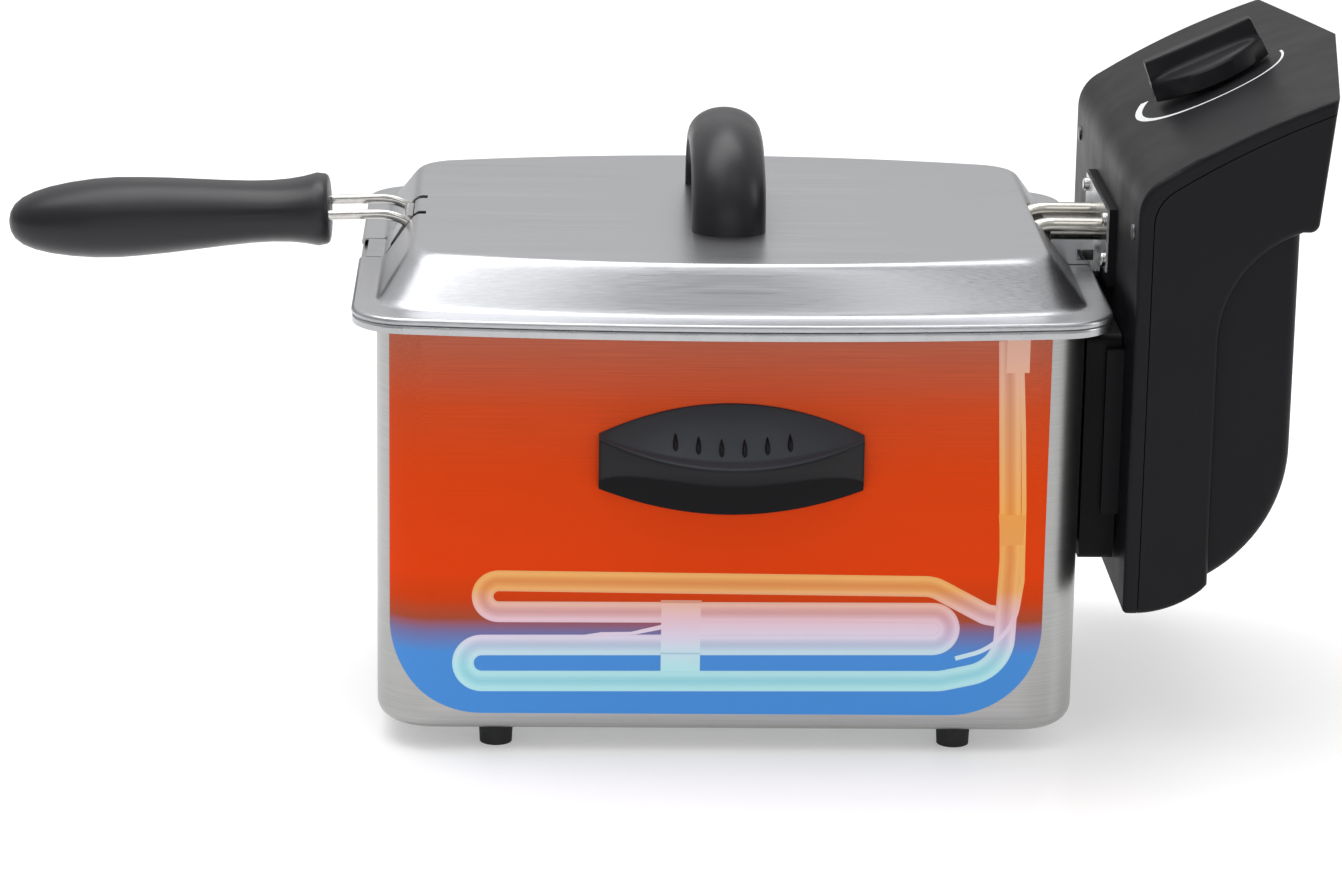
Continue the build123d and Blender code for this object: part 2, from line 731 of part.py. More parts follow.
with BuildPart() as control_front_shell:
    add(head_outer)
    add(head_inner, mode=Mode.SUBTRACT)
    add(seam_zone(seam_x - seam_gap), mode=Mode.SUBTRACT)
    # window for the tubes and capillaries, and holes for the flange's screws
    with BuildSketch(cross_section(face_x - 1)):
        with Locations((0, (window_low + window_high) / 2)):
            Rectangle(2 * window_half, window_high - window_low)
        with Locations((0, flange_mid)):
            with GridLocations(2 * flange_screw_y, flange_tall - 9, 2, 2):
                Circle(1.6)
        with Locations((0, shell_screw_z)):
            with GridLocations(2 * shell_screw_y, 1, 2, 1):
                Circle(1.7)
        with Locations((plunger_y, plunger_z)):
            Circle(plunger_r + slide_fit)
    extrude(amount=box_wall + 2, mode=Mode.SUBTRACT)
    # hole for the thermostat's shaft
    with BuildSketch(knob_plane):
        Circle(shaft_hole_r)
    extrude(amount=12, both=True, mode=Mode.SUBTRACT)
    # T-shaped tongue that slides in the guide rail
    with BuildSketch(cross_section(face_x)):
        with Locations((0, rail_low + rail_h / 2 + 6)):
            Rectangle(2 * (slot_half - 6 - tongue_fit), rail_h - 18)
    extrude(amount=-(face_x - half_l - rail_out + slot_step + tongue_fit))
    with BuildSketch(cross_section(half_l + rail_out - slot_step - tongue_fit)):
        with Locations((0, rail_low + rail_h / 2 + 6)):
            Rectangle(2 * (slot_half - tongue_fit), rail_h - 18)
    extrude(amount=2 * tongue_fit - slot_step)
    # ribs beside the rail
    with BuildSketch(cross_section(face_x)):
        with Locations((0, rail_low + rail_h / 2 + 8)):
            with GridLocations(2 * (rail_half + 3.0), 1, 2, 1):
                Rectangle(4.0, 70.0)
    extrude(amount=rim_over_l + 0.8 - box_gap)
control_front_shell.part.label = "control_front_shell"
export_step(control_front_shell.part, "parts/control_front_shell.step")

with BuildPart() as control_rear_shell:
    add(head_outer)
    add(head_inner, mode=Mode.SUBTRACT)
    add(seam_zone(seam_x), mode=Mode.INTERSECT)
    # holes in the back wall: cord gland and reset button
    with BuildSketch(cross_section(face_x + box_d + 1)):
        with Locations((0, gland_z)):
            Circle(gland_r - 1.5)
        with Locations((reset_y, reset_z)):
            Circle(button_r + slide_fit)
    extrude(amount=-box_wall - 2, mode=Mode.SUBTRACT)
control_rear_shell.part.label = "control_rear_shell"
export_step(control_rear_shell.part, "parts/control_rear_shell.step")

# curved compartment on the back where the cord is pushed in
store_x = face_x + box_d
store_r = 65.8
store_high = under_z


def store_body(inset):
    """Cord store outline drawn in by inset, open towards the head."""
    x0 = store_x
    x1 = store_x + store_d - inset
    bend_z = store_low + store_bend
    with BuildPart() as body:
        with BuildSketch(long_section()):
            with BuildLine():
                Polyline((x0, store_low + 1.4 * inset), (x0, store_high + 2 - inset))
                Line((x0, store_high + 2 - inset), (x1, store_high + 2 - inset))
                Line((x1, store_high + 2 - inset), (x1, bend_z))
                mid_x = x1 - store_r * (1 - 0.9)
                mid_z = bend_z - store_r * 0.4359
                ThreePointArc((x1, bend_z), (mid_x, mid_z), (x0, store_low + 1.4 * inset))
            make_face()
        extrude(amount=store_w / 2 - inset, both=True)
    return body.part


with BuildPart() as cord_store:
    add(store_body(0))
    fillet(cord_store.edges().filter_by(lambda e: e.center().X > hx + store_x + 8).filter_by(
        lambda e: abs(abs(e.center().Y) - store_w / 2) < 0.01), 5.0)
    add(store_body(box_wall), mode=Mode.SUBTRACT)
    add(head_outer, mode=Mode.SUBTRACT)
    with BuildSketch(cross_section(store_x + store_d + 1)):
        with Locations((0, store_low + store_mouth_up)):
            RectangleRounded(store_mouth_w, store_mouth_h, store_mouth_r)
    extrude(amount=-8.0, mode=Mode.SUBTRACT)
cord_store.part.label = "cord_store"
export_step(cord_store.part, "parts/cord_store.step")

with BuildPart() as cord_gland:
    with BuildSketch(cross_section(store_x)):
        with Locations((0, gland_z)):
            Circle(gland_r)
    extrude(amount=3.0)
    with BuildSketch(cross_section(store_x)):
        with Locations((0, gland_z)):
            Circle(gland_r - 1.6)
    extrude(amount=-box_wall - 3.0)
    with BuildSketch(cross_section(store_x - 10)):
        with Locations((0, gland_z)):
            Circle(gland_r - 3.0)
    extrude(amount=30.0, mode=Mode.SUBTRACT)
cord_gland.part.label = "cord_gland"
export_step(cord_gland.part, "parts/cord_gland.step")

# screws that close the head, seen on its front face
with BuildPart() as shell_screws:
    with BuildSketch(cross_section(face_x)):
        with Locations((0, shell_screw_z)):
            with GridLocations(2 * shell_screw_y, 1, 2, 1):
                Circle(shell_head_r)
    extrude(amount=-shell_head_h)
    fillet(shell_screws.faces().filter_by(Axis.X).group_by(Axis.X)[0].edges(), 0.6)
    with BuildSketch(cross_section(face_x)):
        with Locations((0, shell_screw_z)):
            with GridLocations(2 * shell_screw_y, 1, 2, 1):
                Circle(1.5)
    extrude(amount=12.0)
shell_screws.part.label = "shell_screws"
export_step(shell_screws.part, "parts/shell_screws.step")

# ---------------------------------------------------------------- inside the control head
shaft_gap = 0.05
body_under = -7.0                # thermostat body below the slope, along its shaft
with BuildPart() as thermostat_body:
    with BuildSketch(knob_plane.offset(body_under)):
        Rectangle(34, 30)
    extrude(amount=-20.0)
    with BuildSketch(knob_plane.offset(body_under)):
        Circle(6.0)
    extrude(amount=3.0)
    with BuildSketch(knob_plane.offset(body_under + 3.0)):
        Circle(shaft_r + shaft_gap)
    extrude(amount=-15.0, mode=Mode.SUBTRACT)
thermostat_body.part.label = "thermostat_body"
export_step(thermostat_body.part, "parts/thermostat_body.step")

knob_gap = 1.6
knob_disc_h = 9.5
knob_bar_h = 19.0
shaft_end = knob_gap + 9.0
with BuildPart() as thermostat_shaft:
    with BuildSketch(knob_plane.offset(body_under - 11.5)):
        Circle(shaft_r)
    extrude(amount=shaft_end - body_under + 11.5)
thermostat_shaft.part.label = "thermostat_shaft"
export_step(thermostat_shaft.part, "parts/thermostat_shaft.step")

# knob: boat-shaped skirt with a grip bar along the slope
with BuildPart() as thermostat_knob:
    with BuildSketch(knob_plane.offset(knob_gap)):
        Circle(knob_r)
        with Locations((0, 0)):
            Rectangle(40.0, 60.0, mode=Mode.INTERSECT)
    extrude(amount=knob_disc_h)
    fillet(thermostat_knob.faces().sort_by(Axis.Z)[-1].edges(), 1.5)
    with BuildSketch(knob_plane.offset(knob_gap + 1)):
        RectangleRounded(17.0, 2 * knob_r - 1.0, 3.0)
    with BuildSketch(knob_plane.offset(knob_gap + knob_bar_h)):
        RectangleRounded(11.0, 2 * knob_r - 3.0, 2.5)
    loft()
    with BuildSketch(knob_plane.offset(knob_gap)):
        Circle(shaft_r)
    extrude(amount=9.0, mode=Mode.SUBTRACT)
thermostat_knob.part.label = "thermostat_knob"
export_step(thermostat_knob.part, "parts/thermostat_knob.step")

# over-heat cut-out behind the back wall, with its reset button
cutout_x = store_x - box_wall - 3.2
with BuildPart() as thermal_cutout:
    with BuildSketch(cross_section(cutout_x)):
        with Locations((reset_y, reset_z)):
            Rectangle(24.0, 24.0)
    extrude(amount=-16.0)
    with BuildSketch(cross_section(cutout_x)):
        with Locations((reset_y, reset_z)):
            Circle(6.0)
    extrude(amount=-9.0, mode=Mode.SUBTRACT)
thermal_cutout.part.label = "thermal_cutout"
export_step(thermal_cutout.part, "parts/thermal_cutout.step")

with BuildPart() as reset_button:
    with BuildSketch(cross_section(store_x + 1.5)):
        with Locations((reset_y, reset_z)):
            Circle(button_r)
    extrude(amount=-1.5 - box_wall - 0.4)
    with BuildSketch(cross_section(store_x - box_wall - 0.4)):
        with Locations((reset_y, reset_z)):
            Circle(5.4)
    extrude(amount=-1.6)
    with BuildSketch(cross_section(store_x - box_wall - 2.0)):
        with Locations((reset_y, reset_z)):
            Circle(1.5)
    extrude(amount=-6.0)
reset_button.part.label = "reset_button"
export_step(reset_button.part, "parts/reset_button.step")

# terminal block, element ends go to it
with BuildPart() as terminal_block:
    with BuildSketch(cross_section(face_x + box_wall)):
        with Locations((0, box_bottom + 70.0)):
            Rectangle(60.0, 16.0)
    extrude(amount=14.0)
    with BuildSketch(cross_section(face_x + box_wall + 14.0)):
        with Locations((0, box_bottom + 70.0)):
            with GridLocations(18.0, 1, 3, 1):
                Circle(2.2)
    extrude(amount=-6.0, mode=Mode.SUBTRACT)
terminal_block.part.label = "terminal_block"
export_step(terminal_block.part, "parts/terminal_block.step")

# switch that lets the heater work only while the head sits in its rail
with BuildPart() as safety_switch:
    with BuildSketch(cross_section(face_x + box_wall)):
        with Locations((plunger_y, plunger_z)):
            Rectangle(12.0, 24.0)
    extrude(amount=18.0)
    with BuildSketch(cross_section(face_x + box_wall)):
        with Locations((plunger_y, plunger_z)):
            Circle(plunger_r + slide_fit)
    extrude(amount=6.0, mode=Mode.SUBTRACT)
safety_switch.part.label = "safety_switch"
export_step(safety_switch.part, "parts/safety_switch.step")

with BuildPart() as switch_plunger:
    with BuildSketch(cross_section(half_l + rail_out + 0.3)):
        with Locations((plunger_y, plunger_z)):
            Circle(plunger_r)
    extrude(amount=face_x - half_l - rail_out - 0.3 + box_wall + 4.0)
switch_plunger.part.label = "switch_plunger"
export_step(switch_plunger.part, "parts/switch_plunger.step")

# ---------------------------------------------------------------- basket
with BuildPart() as basket_hollow:
    with BuildSketch(level(basket_floor + basket_wall)):
        hollow_l = basket_l - 2 * basket_taper - 2 * basket_wall
        hollow_w = basket_w - 2 * basket_taper - 2 * basket_wall
        with Locations((basket_mid, 0)):
            RectangleRounded(hollow_l, hollow_w, basket_r - basket_wall)
    with BuildSketch(level(basket_top)):
        with Locations((basket_mid, 0)):
            RectangleRounded(basket_l - 2 * basket_wall, basket_w - 2 * basket_wall, basket_r - basket_wall)
    loft()

with BuildPart() as basket_mesh:
    with BuildSketch(level(basket_floor)):
        with Locations((basket_mid, 0)):
            RectangleRounded(basket_l - 2 * basket_taper, basket_w - 2 * basket_taper, basket_r)
    with BuildSketch(level(basket_top)):
        with Locations((basket_mid, 0)):
            RectangleRounded(basket_l, basket_w, basket_r)
    loft()
    add(basket_hollow.part, mode=Mode.SUBTRACT)
basket_mesh.part.label = "basket_mesh"
export_step(basket_mesh.part, "parts/basket_mesh.step")

with BuildSketch(level(basket_top + basket_wire_r)) as rim_outline:
    with Locations((basket_mid, 0)):
        RectangleRounded(basket_l, basket_w, basket_r)
rim_path = rim_outline.sketch.face().outer_wire()
with BuildPart() as basket_rim:
    with BuildSketch(rim_path ^ 0):
        Circle(basket_wire_r)
    sweep(path=rim_path)
basket_rim.part.label = "basket_rim"
export_step(basket_rim.part, "parts/basket_rim.step")

# bracket: strap up from the basket, rolled eye for the handle, tab out over the rims
eye_r = wire_r + 0.05
eye_out = eye_r + 1.0
eye_half = wire_gap / 2 - wire_r - 0.6
tab_top = lid_top
tab_out = rim_l - 2.8
strap_x = basket_left - basket_wire_r - bracket_t
with BuildPart() as basket_bracket:
    with BuildSketch(long_section()):
        with Locations((pivot_x, pivot_z)):
            Circle(eye_out)
        # sloping cover strip down from the eye to the tab
        with BuildLine():
            Polyline(
                (pivot_x - 1.0, pivot_z + 2.6), (-dome_base_l, tab_top), (-tab_out, tab_top),
                (-tab_out, tank_top + rest_gap), (-tab_out + 0.9, tank_top + rest_gap),
                (-tab_out + 0.9, tab_top - bracket_t), (-dome_base_l + 0.4, tab_top - bracket_t),
                (pivot_x + 0.6, pivot_z + 0.6), close=True,
            )
        make_face()
        # strap down inside the tank wall to the basket
        with BuildLine():
            Polyline(
                (pivot_x + 1.0, pivot_z - 2.8), (pivot_x + 2.8, pivot_z - 1.0),
                (strap_x + bracket_t, basket_top + 8.0), (strap_x + bracket_t, basket_top - 1.0),
                (basket_left, basket_top - 5.0), (basket_left, basket_top - 40.0),
                (basket_left - bracket_t, basket_top - 40.0), (basket_left - bracket_t, basket_top - 5.4),
                (strap_x, basket_top - 1.4), (strap_x, basket_top + 7.6), close=True,
            )
        make_face()
        with Locations((pivot_x, pivot_z)):
            Circle(eye_r, mode=Mode.SUBTRACT)
    extrude(amount=bracket_w / 2, both=True)
    # clear of the wires beside the eye
    with BuildSketch(level(basket_top + 8.0)):
        with Locations((pivot_x, 0)):
            with GridLocations(1, 2 * eye_half + 20, 1, 2):
                Rectangle(16.0, 20.0)
    extrude(amount=40.0, mode=Mode.SUBTRACT)
basket_bracket.part.label = "basket_bracket"
export_step(basket_bracket.part, "parts/basket_bracket.step")

# ---------------------------------------------------------------- basket handle
wire_bend_x = pivot_x - 9.0
wire_drop = 0.6
with BuildPart() as handle_wires:
    for side in (-1, 1):
        wire_y = side * wire_gap / 2
        with BuildLine() as wire_line:
            FilletPolyline(
                (hx + grip_end_x - 28.0, wire_y, wire_z - 2 * wire_drop),
                (hx + wire_bend_x, wire_y, wire_z),
                (hx + pivot_x, wire_y, pivot_z),
                (hx + pivot_x, side * 3.0, pivot_z),
                radius=[3.2, 2.4],
            )
        with BuildSketch(wire_line.line ^ 0):
            Circle(wire_r)
        sweep()
handle_wires.part.label = "handle_wires"
export_step(handle_wires.part, "parts/handle_wires.step")

grip_plane = Plane(
    origin=(hx + grip_end_x, 0, wire_z - 1.1),
    x_dir=(0, 1, 0),
    z_dir=Vector(-0.99897, 0, -0.04536),
)
grip_stations = [
    (0.0, 22.4, 14.6), (3.0, 22.6, 15.2), (12.0, 21.6, 13.4), (28.0, 20.6, 12.4),
    (56.0, 20.8, 13.9), (92.0, 21.6, 16.5), (112.0, 20.6, 15.6), (127.0, 17.6, 12.8), (136.0, 12.6, 8.6),
]
with BuildPart() as handle_grip:
    for along, half_y, half_z in grip_stations:
        with BuildSketch(grip_plane.offset(along)):
            Ellipse(half_y, half_z)
    loft()
    fillet(handle_grip.faces().sort_by(Axis.X)[0].edges(), 3.0)
    add(handle_wires.part, mode=Mode.SUBTRACT)
handle_grip.part.label = "handle_grip"
export_step(handle_grip.part, "parts/handle_grip.step")

# ---------------------------------------------------------------- lid
notch_tab = bracket_w / 2 + slit
notch_wire = wire_gap / 2 + wire_r + 1.4
notch_tubes = gusset_y + 1.1
with BuildPart() as dome_hollow:
    with BuildSketch(level(lid_top - lid_t - 0.5)):
        add(bowed(dome_base_l - lid_t - 0.1, dome_base_w - lid_t, rim_bow, dome_r - lid_t))
    with BuildSketch(level(crown - lid_t)):
        add(bowed(dome_top_l - lid_t - 0.1, dome_top_w - lid_t, dome_bow, dome_r - lid_t))
    loft()

with BuildPart() as lid_shell:
    with BuildSketch(level(lid_top - lid_t)):
        add(bowed(dome_base_l, dome_base_w, rim_bow, dome_r))
    with BuildSketch(level(crown)):
        add(bowed(dome_top_l, dome_top_w, dome_bow, dome_r))
    loft()
    with BuildSketch(level(lid_top - lid_t)):
        add(bowed(rim_l + 0.3, rim_w + 0.3, rim_bow, rim_r))
    extrude(amount=lid_t)
    with BuildSketch(level(tank_top + rest_gap)):
        add(bowed(rim_l + 0.3, rim_w + 0.3, rim_bow, rim_r))
        add(bowed(rim_l - 0.7, rim_w - 0.7, rim_bow, rim_r - 1.0), mode=Mode.SUBTRACT)
    extrude(amount=lid_skirt)
    add(dome_hollow.part, mode=Mode.SUBTRACT)
    # notches: bracket tab and handle wires at one end, heating tubes at the other
    with BuildSketch(level(tank_top - 2)):
        with Locations((-rim_l - 2, 0)):
            Rectangle(2 * (rim_l + 2 + pivot_x - 4.6 + 3.0), 2 * notch_tab)
        with Locations((pivot_x, 0)):
            Rectangle(14.0, 2 * notch_wire)
        with Locations((rim_l + 2, 0)):
            Rectangle(2 * (rim_l + 2 - dome_top_l + 1.0), 2 * notch_tubes)
    extrude(amount=crown, mode=Mode.SUBTRACT)
    # holes for the handle's screws
    with Locations((hx, 0, crown)):
        with GridLocations(1, loop_l - 26.0, 1, 2):
            Hole(screw_r + screw_fit, depth=2 * lid_t)
lid_shell.part.label = "lid_shell"
export_step(lid_shell.part, "parts/lid_shell.step")

with BuildPart() as lid_handle:
    with BuildSketch(cross_section(-loop_w / 2)):
        with Locations((0, crown)):
            Ellipse(loop_l / 2, loop_h)
            Ellipse(loop_l / 2 - loop_t, loop_h - loop_t, mode=Mode.SUBTRACT)
            with Locations((0, -loop_h)):
                Rectangle(2 * loop_l, 2 * loop_h, mode=Mode.SUBTRACT)
    extrude(amount=loop_w)
    fillet(lid_handle.edges().filter_by(GeomType.ELLIPSE), 6.0)
    with Locations((hx, 0, crown)):
        with GridLocations(1, loop_l - 26.0, 1, 2):
            Cylinder(screw_r - 0.1, 16, mode=Mode.SUBTRACT)
lid_handle.part.label = "lid_handle"
export_step(lid_handle.part, "parts/lid_handle.step")

with BuildPart() as lid_handle_screws:
    with Locations((hx, 0, crown - lid_t)):
        with GridLocations(1, loop_l - 26.0, 1, 2):
            Cylinder(head_r, head_h, align=(Align.CENTER, Align.CENTER, Align.MAX))
            Cylinder(screw_r - 0.2, lid_t + 7.5, align=(Align.CENTER, Align.CENTER, Align.MIN))
lid_handle_screws.part.label = "lid_handle_screws"
export_step(lid_handle_screws.part, "parts/lid_handle_screws.step")
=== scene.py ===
"""Looks of the electric deep fryer: finer shells, wire mesh, printed film and real finishes.

Lengths in the making functions are millimetres from the housing's middle; spot() turns them into
the frame's metres.
"""
import bpy
import bmesh
from math import asin, cos, pi, radians, sin, sqrt, tau
from mathutils import Matrix, Vector


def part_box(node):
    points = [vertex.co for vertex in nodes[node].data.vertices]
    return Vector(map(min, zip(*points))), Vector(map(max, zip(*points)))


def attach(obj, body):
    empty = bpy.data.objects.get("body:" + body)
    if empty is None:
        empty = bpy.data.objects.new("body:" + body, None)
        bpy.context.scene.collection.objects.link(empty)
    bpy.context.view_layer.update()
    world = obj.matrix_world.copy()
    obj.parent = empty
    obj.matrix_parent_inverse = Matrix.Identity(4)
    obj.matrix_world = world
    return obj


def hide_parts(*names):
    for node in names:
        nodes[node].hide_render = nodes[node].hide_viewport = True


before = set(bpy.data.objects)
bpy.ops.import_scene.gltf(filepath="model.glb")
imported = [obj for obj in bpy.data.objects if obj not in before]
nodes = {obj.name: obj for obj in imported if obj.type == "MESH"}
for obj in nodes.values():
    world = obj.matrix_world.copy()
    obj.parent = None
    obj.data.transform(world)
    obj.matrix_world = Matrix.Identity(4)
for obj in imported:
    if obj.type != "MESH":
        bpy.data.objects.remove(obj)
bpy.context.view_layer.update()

MM = 0.001
housing_low, housing_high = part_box("housing_shell")
MID_X = (housing_low.x + housing_high.x) / 2


def spot(x, y, z):
    """A place given in millimetres from the housing's middle, in metres."""
    return Vector((MID_X + x * MM, y * MM, z * MM))


def reach(node):
    """Lowest and highest corner of a CAD node in millimetres from the housing's middle."""
    low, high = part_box(node)
    return [(v - Vector((MID_X, 0, 0))) / MM for v in (low, high)]


# ---------------------------------------------------------------- sizes read from the frame
HALF_W = reach("housing_shell")[1].y
TANK_TOP = reach("oil_tank")[1].z
RIM_L = reach("oil_tank")[1].x
RIM_BOW = 10.5    # how far the long sides of rim and lid bow out in their middle
RIM_W = reach("oil_tank")[1].y - RIM_BOW
CROWN = reach("lid_shell")[1].z
LID_RISE = 19.0
LID_EDGE = CROWN - LID_RISE    # top of the lid's flat edge


# ---------------------------------------------------------------- mesh making
def piece(name, verts, faces, body, slot, smooth_angle=40):
    """Closed mesh piece that rides on a body; edges sharper than the angle stay crisp."""
    mesh = bpy.data.meshes.new(name)
    mesh.from_pydata([tuple(v) for v in verts], [], faces)
    work = bmesh.new()
    work.from_mesh(mesh)
    bmesh.ops.recalc_face_normals(work, faces=work.faces)
    work.to_mesh(mesh)
    work.free()
    mesh.shade_smooth()
    mesh.set_sharp_from_angle(angle=radians(smooth_angle))
    obj = bpy.data.objects.new(name, mesh)
    bpy.context.scene.collection.objects.link(obj)
    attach(obj, body)
    return obj


def skin(rings, looped=False):
    """Vertices and faces through rings of points; looped joins the last ring to the first."""
    verts = [v for ring in rings for v in ring]
    count = len(rings[0])
    turns = len(rings) if looped else len(rings) - 1
    faces = []
    for r in range(turns):
        a, b = r * count, ((r + 1) % len(rings)) * count
        for i in range(count):
            j = (i + 1) % count
            faces.append((a + i, a + j, b + j, b + i))
    if not looped:
        faces.append(tuple(range(count)))
        faces.append(tuple(range((len(rings) - 1) * count, len(rings) * count)))
    return verts, faces


def merge(parts):
    """One list of vertices and faces from several."""
    verts, faces = [], []
    for part_verts, part_faces in parts:
        start = len(verts)
        verts += part_verts
        faces += [tuple(start + i for i in face) for face in part_faces]
    return verts, faces


def softened(corners, radii):
    """Closed polygon of (x, y) corners with each corner rounded off by its own radius."""
    steps = 4
    out = []
    count = len(corners)
    for i, corner in enumerate(corners):
        p = Vector(corner)
        before, after = Vector(corners[i - 1]), Vector(corners[(i + 1) % count])
        # a corner takes at most a little under half of each side
        a = p + (before - p).normalized() * min(radii[i], (before - p).length * 0.45)
        b = p + (after - p).normalized() * min(radii[i], (after - p).length * 0.45)
        for k in range(steps + 1):
            t = k / steps
            out.append(a * (1 - t) ** 2 + p * 2 * t * (1 - t) + b * t**2)
    return out


def tube(path, radius, sides, cyclic=False):
    """Rings of a round wire that follows a path of places in millimetres."""
    places = [Vector(p) for p in path]
    count = len(places)
    across = None
    rings = []
    for i, p in enumerate(places):
        before = places[i - 1] if i or cyclic else p
        after = places[(i + 1) % count] if i < count - 1 or cyclic else p
        way = (after - before).normalized()
        if across is None:
            across = way.orthogonal()
        across = (across - way * across.dot(way)).normalized()
        beside = way.cross(across)
        rings.append([
            spot(*(p + (across * cos(tau * k / sides) + beside * sin(tau * k / sides)) * radius))
            for k in range(sides)
        ])
    return rings


def wires(name, paths, radius, body, slot, cyclic=False, sides=6):
    """Round wires along several paths, as one piece."""
    parts = [skin(tube(path, radius, sides, cyclic), looped=cyclic) for path in paths]
    return piece(name, *merge(parts), body, slot, 60)


def cut(obj, cutter):
    """Takes a closed shape out of a piece and keeps the result as its mesh."""
    tool = piece("cutter", *cutter, "lid", "lid_shell")
    modifier = obj.modifiers.new("cut", "BOOLEAN")
    modifier.operation = "DIFFERENCE"
    modifier.solver = "EXACT"
    modifier.object = tool
    bpy.context.view_layer.update()
    graph = bpy.context.evaluated_depsgraph_get()
    result = bpy.data.meshes.new_from_object(obj.evaluated_get(graph))
    obj.modifiers.clear()
    obj.data = result
    bpy.data.objects.remove(tool)
    result.shade_smooth()
    result.set_sharp_from_angle(angle=radians(40))


def block(x0, x1, y0, y1, z0, z1):
    """A box between two corners, as vertices and faces."""
    low = [spot(x0, y0, z0), spot(x1, y0, z0), spot(x1, y1, z0), spot(x0, y1, z0)]
    high = [v + Vector((0, 0, (z1 - z0) * MM)) for v in low]
    return skin([low, high])


# ---------------------------------------------------------------- materials
def linear(hex_colour):
    """sRGB hex to the linear colour the shader takes."""
    parts = [int(hex_colour[i:i + 2], 16) / 255 for i in (1, 3, 5)]
    return [*(p / 12.92 if p <= 0.04045 else ((p + 0.055) / 1.055) ** 2.4 for p in parts), 1]


def add_node(tree, kind, links=(), **settings):
    """A node with its settings, and links given as (from socket, input name or number)."""
    node = tree.nodes.new(kind)
    for key, value in settings.items():
        if key.startswith("in_"):
            name = key[3:]
            socket = node.inputs[int(name)] if name.isdigit() else node.inputs[name.replace("_", " ")]
            socket.default_value = value
        else:
            setattr(node, key, value)
    for source, target in links:
        tree.links.new(source, node.inputs[target])
    return node


def finish(name, colour, metallic=0.0, roughness=0.5, **shader):
    """A material with its shader's constants set; returns material, tree and shader."""
    material = bpy.data.materials.new(name)
    material.use_nodes = True
    tree = material.node_tree
    surface = tree.nodes["Principled BSDF"]
    surface.inputs["Base Color"].default_value = linear(colour)
    surface.inputs["Metallic"].default_value = metallic
    surface.inputs["Roughness"].default_value = roughness
    for key, value in shader.items():
        surface.inputs[key.replace("_", " ")].default_value = value
    return material, tree, surface


def grain_noise(tree, stretch, scale_mm, detail=3.0):
    """Noise over the object's own metres, one feature about scale_mm wide, longer where stretched."""
    place = add_node(tree, "ShaderNodeTexCoord")
    mapping = add_node(tree, "ShaderNodeMapping", [(place.outputs["Object"], "Vector")], in_Scale=stretch)
    return add_node(
        tree, "ShaderNodeTexNoise", [(mapping.outputs[0], "Vector")],
        in_Scale=1000.0 / scale_mm, in_Detail=detail, in_Roughness=0.6,
    )


# most of a noise pattern's values lie between these
NOISE_LOW, NOISE_HIGH = 0.3, 0.7


def tone(tree, source, low, high, surface, socket):
    """Spreads a pattern between two values on a shader socket."""
    spread = add_node(
        tree, "ShaderNodeMapRange", [(source, "Value")],
        in_From_Min=NOISE_LOW, in_From_Max=NOISE_HIGH, in_To_Min=low, in_To_Max=high,
    )
    tree.links.new(spread.outputs[0], surface.inputs[socket])


def colour_stops(ramp, stops):
    """Sets a ramp's colours, given as (position, hex colour) from low to high."""
    first, last = ramp.color_ramp.elements[0], ramp.color_ramp.elements[1]
    first.position, first.color = stops[0][0], linear(stops[0][1])
    last.position, last.color = stops[-1][0], linear(stops[-1][1])
    for position, colour in stops[1:-1]:
        ramp.color_ramp.elements.new(position).color = linear(colour)


def shade(tree, source, dark, light, surface):
    """Spreads a pattern between two colours on the base colour."""
    ramp = add_node(tree, "ShaderNodeValToRGB", [(source, "Fac")])
    colour_stops(ramp, [(NOISE_LOW, dark), (NOISE_HIGH, light)])
    tree.links.new(ramp.outputs[0], surface.inputs["Base Color"])


def relief(tree, source, depth_mm, surface, strength):
    """Turns a pattern into bumps of a real depth."""
    bump = add_node(
        tree, "ShaderNodeBump", [(source, "Height")], in_Strength=strength, in_Distance=depth_mm * MM,
    )
    tree.links.new(bump.outputs[0], surface.inputs["Normal"])


def brushed_stainless(name, stretch, dark, light, rough, depth_mm):
    """Stainless steel brushed one way with a belt: long fine lines, streaky gloss."""
    material, tree, surface = finish(name, light, metallic=1.0, roughness=rough[0])
    # scratches 0.5 mm apart, coarser than the real 0.1 mm so that they show
    lines = grain_noise(tree, stretch, 0.5, detail=4.0)
    tone(tree, lines.outputs["Fac"], rough[0], rough[1], surface, "Roughness")
    shade(tree, lines.outputs["Fac"], dark, light, surface)
    relief(tree, lines.outputs["Fac"], depth_mm, surface, 0.6)
    return material


def drawn_stainless(name, dark, light, rough):
    """Stainless sheet or tube as it leaves the press or the die: soft cloudy gloss, no brushing."""
    material, tree, surface = finish(name, light, metallic=1.0, roughness=rough)
    cloud = grain_noise(tree, (1, 1, 1), 14.0)
    tone(tree, cloud.outputs["Fac"], rough - 0.03, rough + 0.05, surface, "Roughness")
    shade(tree, cloud.outputs["Fac"], dark, light, surface)
    return material


def moulded_plastic(name, colour, light, roughness, grain_mm=0.9, depth_mm=0.02, gloss=0.16):
    """Injection-moulded black plastic: spark-eroded fine grain, soft sheen, faint handling marks."""
    material, tree, surface = finish(name, colour, roughness=roughness, IOR=1.5, Specular_IOR_Level=gloss)
    grain = grain_noise(tree, (1, 1, 1), grain_mm, detail=2.0)
    patches = grain_noise(tree, (1, 1, 1), 35.0, detail=3.0)
    tone(tree, patches.outputs["Fac"], roughness - 0.05, roughness + 0.07, surface, "Roughness")
    shade(tree, patches.outputs["Fac"], colour, light, surface)
    relief(tree, grain.outputs["Fac"], depth_mm, surface, 0.5)
    return material


